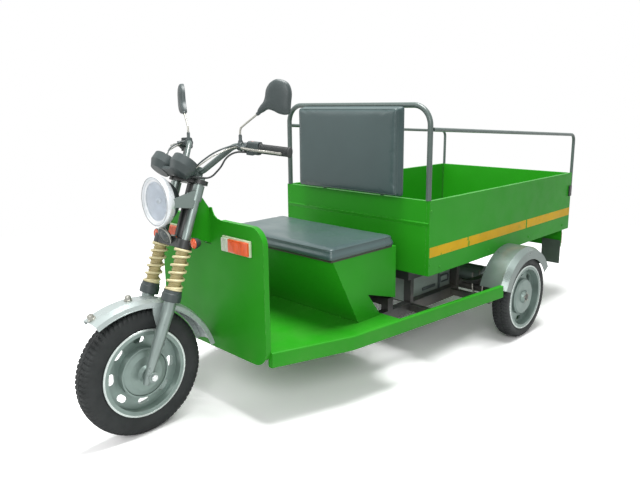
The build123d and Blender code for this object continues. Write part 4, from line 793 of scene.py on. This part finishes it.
def make_grips():
    """Ribbed rubber grips with flanges."""
    bm = bmesh.new()
    for side in (-1, 1):
        tip, inward = bar_end(side)
        profile = [(0, -0.006), (0.015, -0.006), (0.0205, -0.003), (0.0210, 0.001), (0.0195, 0.004)]
        for number in range(21):
            along = 0.007 + number * 0.005
            profile += [(0.0168, along), (0.0180, along + 0.0010), (0.0180, along + 0.0032), (0.0168, along + 0.0042)]
        profile += [(0.0200, 0.1125), (0.0208, 0.1150), (0.0200, 0.1178)]
        profile += [(0.0113, 0.1180), (0.0113, 0.0005), (0, 0.0005)]
        lathe(bm, tip, inward, profile, 36, 0)
    made = piece(bm, "ribbed_grips", ["soft_rubber"], "steering", 40)
    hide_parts("handlebar_grips")


# ---------------------------------------------------------------- indicators, horn and dials
def make_indicators():
    """Round orange lenses in black bodies beside the lower fork clamp."""
    low, high = corners_of("front_indicators")
    bm = bmesh.new()
    for side in (-1, 1):
        place = Vector((low.x, side * (high.y - 0.021), (low.z + high.z) / 2))
        body = ((0, 0), (0.013, 0), (0.0165, 0.005), (0.0205, 0.018), (0.0212, 0.021), (0.0205, 0.0235), (0, 0.0235))
        lathe(bm, place, (1, 0, 0), body, 36, 0)
        lens = [(0, 0.0225), (0.0186, 0.0225), (0.0188, 0.0250)]
        for ridge in range(5):
            radius = 0.0176 - ridge * 0.0034
            lift = 0.0258 + ridge * 0.0011
            lens += [(radius, lift + 0.0006), (radius - 0.0017, lift)]
        lens.append((0, 0.0318))
        lathe(bm, place, (1, 0, 0), lens, 36, 1)
        stalk = ((0, 0), (0.0085, 0), (0.0085, 0.003), (0.0062, 0.006), (0.0062, 0.021), (0, 0.021))
        lathe(bm, (low.x + 0.022, side * 0.1083, place.z - 0.004), (0, side, 0), stalk, 18, 0)
    made = piece(bm, "indicator_lamps", ["soft_rubber", "orange_lens"], "steering", 40)
    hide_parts("front_indicators")


def make_dials():
    """Two plain dials facing the rider: ring, face, ticks and needle."""
    bm = bmesh.new()
    up = Vector((-math.sin(math.radians(42)), 0, math.cos(math.radians(42))))
    right = Vector((0, -1, 0))
    top = up.cross(right).normalized()
    for side in (-1, 1):
        centre = BAR_CENTRE + Vector((0.104, side * 0.066, 0.005)) + up * 0.056
        ring = (
            (0.0455, 0.0002), (0.0508, 0.0002), (0.0512, 0.0016),
            (0.0495, 0.0032), (0.0470, 0.0034), (0.0455, 0.0022),
        )
        lathe(bm, centre, up, ring, 56, 0, True)
        lathe(bm, centre, up, ((0, 0.0002), (0.0454, 0.0002), (0.0454, 0.0009), (0, 0.0009)), 56, 1)
        for tick in range(25):
            angle = math.radians(225 - tick * 11.25)
            outward = right * math.cos(angle) + top * math.sin(angle)
            sideways = up.cross(outward)
            long_tick = tick % 4 == 0
            length = 0.0075 if long_tick else 0.0042
            middle = centre + outward * (0.0425 - length / 2) + up * 0.0010
            size = (length, 0.0011 if long_tick else 0.0006, 0.0005)
            block(bm, middle, size, (outward, sideways, up), 0.0001, 2, 1)
        angle = math.radians(225)
        outward = right * math.cos(angle) + top * math.sin(angle)
        axes = (outward, up.cross(outward), up)
        block(bm, centre + outward * 0.014 + up * 0.0019, (0.036, 0.0016, 0.0006), axes, 0.0002, 3, 1)
        lathe(bm, centre, up, ((0, 0.0008), (0.0045, 0.0008), (0.0038, 0.0028), (0, 0.0030)), 20, 0)
    piece(
        bm, "dial_faces", ["black_plastic", "dial_black", "dial_white", "orange_lens"],
        "steering",
    )


def make_horn():
    """Disc horn on a strap ahead of the lower fork clamp."""
    bm = bmesh.new()
    place = Vector((1.098, 0.0, 0.742))
    ahead = Vector((math.cos(math.radians(20)), 0, -math.sin(math.radians(20))))
    profile = (
        (0, -0.020), (0.014, -0.020), (0.018, -0.014), (0.034, -0.010), (0.0375, -0.006), (0.0375, 0.0),
        (0.034, 0.002),
        (0.030, 0.000), (0.026, 0.002), (0.018, 0.003), (0.010, 0.006), (0, 0.007),
    )
    lathe(bm, place, ahead, profile, 40, 0)
    rim = ((0.0345, 0.0015), (0.0385, 0.0005), (0.0385, -0.0045), (0.0368, -0.0065), (0.0345, -0.002))
    lathe(bm, place, ahead, rim, 40, 1, True)
    for step in range(8):
        angle = math.tau * step / 8
        first, second = across_of(ahead)
        seat = place + (first * math.cos(angle) + second * math.sin(angle)) * 0.022 + ahead * 0.0012
        bolt(bm, seat, ahead, 0.0028, 1, False)
    strap = [
        place - ahead * 0.016, place - ahead * 0.028 + Vector((0, 0, -0.010)),
        place - ahead * 0.050 + Vector((0, 0, -0.022)),
    ]
    tube(bm, curve_through(strap, 5), 0.0048, 8, 1)
    piece(bm, "horn_disc", ["black_plastic", "zinc_steel"], "steering", 40)


def make_sleeves():
    """Ribbed dust sleeves inside the fork springs."""
    low, high = corners_of("fork_springs")
    bottom = Vector((high.x - 0.0316, 0, low.z + 0.0115))
    top = Vector((low.x + 0.0316, 0, high.z - 0.0115))
    axis = (top - bottom).normalized()
    length = (top - bottom).length
    bm = bmesh.new()
    for side in (-1, 1):
        start = bottom + Vector((0, side * 0.078, 0)) - axis * 0.006
        profile = [(0, 0), (0.0215, 0)]
        ribs = 15
        for number in range(ribs):
            along = 0.004 + (length - 0.001) * number / ribs
            profile += [(0.0212, along), (0.0238, along + 0.0030), (0.0238, along + 0.0055), (0.0212, along + 0.0085)]
        profile += [(0.0215, length + 0.008), (0, length + 0.008)]
        lathe(bm, start, axis, profile, 28, 0)
    piece(bm, "spring_sleeves", ["sleeve_rubber"], "steering", 50)


def make_controls():
    """Switch housings, lever perches with short levers, and the fixed cables from them to the pods."""
    bm = bmesh.new()
    for side in (-1, 1):
        tip, inward = bar_end(side)
        ahead = Vector((1, 0, 0)) - inward * inward.x
        ahead.normalize()
        above = ahead.cross(inward) * -side
        perch = tip + inward * 0.150
        block(bm, perch + ahead * 0.012 - above * 0.018, (0.030, 0.020, 0.016), (inward, ahead, above), 0.004, 0, 3)
        block(bm, perch + ahead * 0.006 + above * 0.017, (0.034, 0.024, 0.009), (inward, ahead, above), 0.003, 0, 3)
        lathe(bm, perch + above * 0.020, above, ((0, 0), (0.006, 0), (0.0055, 0.004), (0, 0.0045)), 16, 2)
        mount = tip + inward * 0.182
        ring = ((0.0114, 0), (0.0160, 0), (0.0165, 0.002), (0.0165, 0.014), (0.0160, 0.016), (0.0114, 0.016))
        lathe(bm, tip + inward * 0.167, inward, ring, 28, 0, True)
        block(bm, mount - inward * 0.006 + ahead * 0.024, (0.024, 0.030, 0.014), (inward, ahead, above), 0.004, 0, 3)
        lever = [mount + ahead * 0.036 - inward * 0.004, tip + inward * 0.120 + ahead * 0.052]
        lever += [tip + inward * 0.060 + ahead * 0.050, tip + inward * 0.012 + ahead * 0.054]
        tube(bm, curve_through(lever, 6), 0.0046, 10, 1)
        start = mount + ahead * 0.034
        end = BAR_CENTRE + Vector((0.060, side * 0.085, 0.010))
        for rise, spread, thickness, finish in ((0.012, 0.020, 0.0030, 0), (-0.004, 0.036, 0.0024, 1)):
            route = [start, start + inward * 0.030 + Vector((0, 0, rise * 0.4))]
            route.append(start.lerp(end, 0.40) + Vector((spread, 0, rise + 0.010)))
            route.append(start.lerp(end, 0.72) + Vector((spread * 0.9, 0, rise)))
            route.append(end)
            tube(bm, curve_through(route, 8), thickness, 10, finish)
    piece(bm, "bar_controls", ["black_plastic", "zinc_steel", "orange_lens"], "steering", 40)


# ---------------------------------------------------------------- wheels and mudguards
def make_wheel_trim():
    """Bright flange edge on each wheel, and nuts on the rear hubs."""
    wheels = [("front", FRONT_AXLE, 0, "front_wheel_assembly")]
    for side, turn in (("left", 1), ("right", -1)):
        wheels.append((f"rear_{side}", REAR_AXLES[side], turn, f"rear_wheel_{side}_assembly"))
    for name, centre, turn, body in wheels:
        bm = bmesh.new()
        for side in (-1, 1):
            lip = (
                (0.1622, 0.0412), (0.1660, 0.0414), (0.1693, 0.0411), (0.1703, 0.0398), (0.1700, 0.0385),
                (0.1692, 0.0388), (0.1690, 0.0408), (0.1624, 0.0408),
            )
            lathe(bm, centre, (0, side, 0), lip, 96, 0, True)
        if turn:
            hub = Vector((centre.x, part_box(f"rear_wheel_{name[5:]}")[1 if turn > 0 else 0][1], centre.z))
            for step in range(5):
                angle = math.tau * step / 5 + 0.3
                place = hub + Vector((math.cos(angle) * 0.022, -turn * 0.001, math.sin(angle) * 0.022))
                bolt(bm, place, (0, turn, 0), 0.0068, 1)
        piece(bm, f"wheel_trim_{name}", ["bright_rim", "zinc_steel"], body, 40)


def guard_point(centre, radius, degrees, across):
    angle = math.radians(degrees)
    return centre + Vector((math.cos(angle) * radius, across, math.sin(angle) * radius))


def make_guard_trim():
    """Rolled edges and the capped bolts on the front mudguard."""
    centre = FRONT_AXLE + Vector((0.018, 0, -0.065))
    half = 0.052
    bm = bmesh.new()
    for side in (-1, 1):
        edge = [guard_point(centre, 0.3205, 61 + step * 2.04, side * half) for step in range(51)]
        tube(bm, edge, 0.0022, 8, 0)
    for degrees in (64.0, 88.0):
        place = guard_point(centre, 0.3475, degrees, 0)
        outward = place - centre
        knob = (
            (0, 0), (0.0150, 0), (0.0150, 0.0045), (0.0115, 0.0060), (0.0115, 0.0165), (0.0095, 0.0195), (0, 0.0200),
        )
        lathe(bm, place, outward, knob, 24, 1)
    piece(bm, "front_guard_trim", ["bright_guard", "zinc_steel"], "steering", 40)


# ---------------------------------------------------------------- battery, chassis and box fittings
def make_battery_fittings():
    """Lid strap, latch, pull and louvres on both sides of the battery box."""
    low, high = corners_of("battery_box")
    strap_x = -0.285
    bm = bmesh.new()
    for side in (-1, 1):
        face = side * (high.y + 0.0004)
        out = Vector((0, side, 0))
        block(bm, (strap_x, face + side * 0.003, 0.322), (0.013, 0.0064, 0.108), None, 0.0015, 0)
        loop = rounded_loop(
            (strap_x - 0.082, 0.322), (strap_x - 0.010, 0.356), 0.010,
            lambda a, b, face=face, side=side: Vector((a, face + side * 0.004, b)), 0.010,
        )
        tube(bm, loop, 0.0042, 8, 0, True)
        block(bm, (-0.196, face + side * 0.0032, 0.318), (0.108, 0.0062, 0.014), None, 0.002, 0)
        for x in (low.x + 0.022, high.x - 0.022):
            for z in (low.z + 0.020, high.z - 0.022):
                bolt(bm, (x, face, z), out, 0.0075, 1)
        for number in range(5):
            block(bm, (-0.410, face + side * 0.0012, 0.300 + number * 0.014), (0.070, 0.0024, 0.005), None, 0.001, 2)
        lip = ((low.x + high.x) / 2, face + side * 0.002, high.z - 0.0045)
        block(bm, lip, (high.x - low.x + 0.002, 0.005, 0.009), None, 0.0018, 2)
    piece(bm, "battery_fittings", ["black_plastic", "zinc_steel", "battery_grey"], "chassis")


def make_springs_trim():
    """U-bolts and their nuts, holding the leaf springs to the rear axle."""
    bm = bmesh.new()
    axle_x = REAR_AXLES["left"].x
    for side in (-1, 1):
        middle = side * 0.332
        for shift in (-0.036, 0.036):
            x = axle_x + shift
            path = [(x, middle - 0.032, 0.302), (x, middle - 0.032, 0.240), (x, middle - 0.026, 0.198)]
            path += [(x, middle, 0.188), (x, middle + 0.026, 0.198)]
            path += [(x, middle + 0.032, 0.240), (x, middle + 0.032, 0.302)]
            tube(bm, curve_through(path, 5), 0.0042, 8, 0)
            for end in (-0.032, 0.032):
                bolt(bm, (x, middle + end, 0.297), (0, 0, 1), 0.0075, 0)
    piece(bm, "spring_bolts", ["zinc_steel"], "chassis")


def make_box_details():
    """Rivets on the box sides and the shallow fold across the front wall."""
    low = Vector(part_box("cargo_side_right")[0])
    high = Vector(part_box("cargo_side_left")[1])
    front_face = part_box("cargo_front")[1][0]
    bm = bmesh.new()
    fold_z = 0.697
    across = high.y - 0.006
    sunk = front_face - 0.0005
    fold = ((sunk, fold_z - 0.016), (front_face + 0.0042, fold_z), (sunk, fold_z + 0.005))
    ends = []
    for y in (-across, across):
        ends.append([bm.verts.new((x, y, z)) for x, z in fold])
    join_rings(bm, ends[0], ends[1], 0)
    bm.faces.new(ends[0])
    bm.faces.new(ends[1])
    for side in (-1, 1):
        for number in range(4):
            x = high.x - 0.09 - number * 0.44
            place = Vector((x, side * (high.y + 0.0003), low.z + 0.030))
            rivet = ((0, 0), (0.0075, 0), (0.0068, 0.0016), (0.004, 0.0028), (0, 0.0031))
            lathe(bm, place, (0, side, 0), rivet, 18, 1)
        for z in (low.z + 0.05, low.z + 0.30):
            place = Vector((high.x - 0.012, side * (high.y + 0.0003), z))
            rivet = ((0, 0), (0.006, 0), (0.0055, 0.0014), (0.003, 0.0024), (0, 0.0026))
            lathe(bm, place, (0, side, 0), rivet, 16, 1)
    piece(bm, "box_details", ["green_paint", "green_paint"], "chassis")


make_headlamp()
make_mirrors()
make_grips()
make_indicators()
make_dials()
make_horn()
make_sleeves()
make_controls()
make_wheel_trim()
make_guard_trim()
make_battery_fittings()
make_springs_trim()
make_box_details()


# ---------------------------------------------------------------- floor, camera and light
def add_floor():
    """Pale floor that keeps the shadow, white to the camera, and fades out into the white surroundings."""
    bpy.ops.mesh.primitive_plane_add(size=40, location=(0, 0, -0.0005))
    floor = bpy.context.object
    floor.name = "floor"
    surface = Surface("pale_floor", srgb(225, 225, 225), 0.9)
    surface.shader.inputs["Specular IOR Level"].default_value = 0.0
    path = surface.node("ShaderNodeLightPath")
    surface.paint_over((FLOOR_TONE, FLOOR_TONE, FLOOR_TONE, 1.0), path.outputs["Is Camera Ray"])
    length = surface.node("ShaderNodeVectorMath", operation="LENGTH")
    surface.link(surface.place, length.inputs[0])
    away = surface.ranged(length.outputs["Value"], 1.9, 4.2)
    clear = surface.node("ShaderNodeBsdfTransparent")
    mix = surface.node("ShaderNodeMixShader")
    output = surface.tree.nodes["Material Output"]
    surface.link(away, mix.inputs[0])
    surface.link(surface.shader.outputs[0], mix.inputs[1])
    surface.link(clear.outputs[0], mix.inputs[2])
    surface.link(mix.outputs[0], output.inputs["Surface"])
    floor.data.materials.append(surface.material)


def add_camera():
    """Camera ahead and to the left of the vehicle at head height."""
    ahead = 2.286
    aside = 2.018
    height = 1.231
    yaw = math.radians(-135.366)
    down = math.radians(11.88)
    roll = math.radians(-0.479)
    forward = Vector((math.cos(down) * math.cos(yaw), math.cos(down) * math.sin(yaw), -math.sin(down)))
    right = Vector((math.sin(yaw), -math.cos(yaw), 0))
    up = right.cross(forward)
    turned_right = right * math.cos(roll) + up * math.sin(roll)
    turned_up = up * math.cos(roll) - right * math.sin(roll)
    data = bpy.data.cameras.new("camera")
    data.lens = 34.46
    data.sensor_width = 36.0
    data.shift_x = -0.0056
    data.shift_y = -0.0127
    data.clip_end = 200
    camera = bpy.data.objects.new("camera", data)
    show(camera)
    basis = Matrix((turned_right, turned_up, -forward)).transposed().to_4x4()
    camera.matrix_world = Matrix.Translation((ahead, aside, height)) @ basis
    bpy.context.scene.camera = camera


def add_lamp(name, place, target, size, power):
    data = bpy.data.lights.new(name, "AREA")
    data.shape = "DISK"
    data.size = size
    data.energy = power
    lamp = bpy.data.objects.new(name, data)
    show(lamp)
    lamp.location = place
    lamp.rotation_euler = (Vector(target) - Vector(place)).to_track_quat("-Z", "Y").to_euler()


def add_world():
    """Even white surroundings: full white to the camera, softer on the vehicle."""
    world = bpy.data.worlds.new("studio")
    bpy.context.scene.world = world
    world.use_nodes = True
    tree = world.node_tree
    background = tree.nodes["Background"]
    path = tree.nodes.new("ShaderNodeLightPath")
    seen = tree.nodes.new("ShaderNodeMath")
    seen.operation = "MAXIMUM"
    tree.links.new(path.outputs["Is Camera Ray"], seen.inputs[0])
    tree.links.new(path.outputs["Is Transmission Ray"], seen.inputs[1])
    mirrored = tree.nodes.new("ShaderNodeMath")
    mirrored.operation = "MAXIMUM"
    tree.links.new(seen.outputs[0], mirrored.inputs[0])
    tree.links.new(path.outputs["Is Glossy Ray"], mirrored.inputs[1])
    strength = tree.nodes.new("ShaderNodeMapRange")
    strength.inputs["To Min"].default_value = 0.42
    strength.inputs["To Max"].default_value = 1.0
    tree.links.new(mirrored.outputs[0], strength.inputs["Value"])
    tree.links.new(strength.outputs["Result"], background.inputs["Strength"])
    background.inputs["Color"].default_value = (1, 1, 1, 1)


add_floor()
add_camera()
add_world()
add_lamp("overhead", (0.2, 0.3, 4.6), (-0.1, 0, 0.4), 2.4, 300)
add_lamp("key", (3.6, 3.0, 2.6), (0.2, 0, 0.5), 2.2, 90)
add_lamp("fill", (3.5, -2.5, 2.6), (0.3, 0, 0.5), 3.0, 40)
bpy.context.scene.view_settings.view_transform = "Standard"
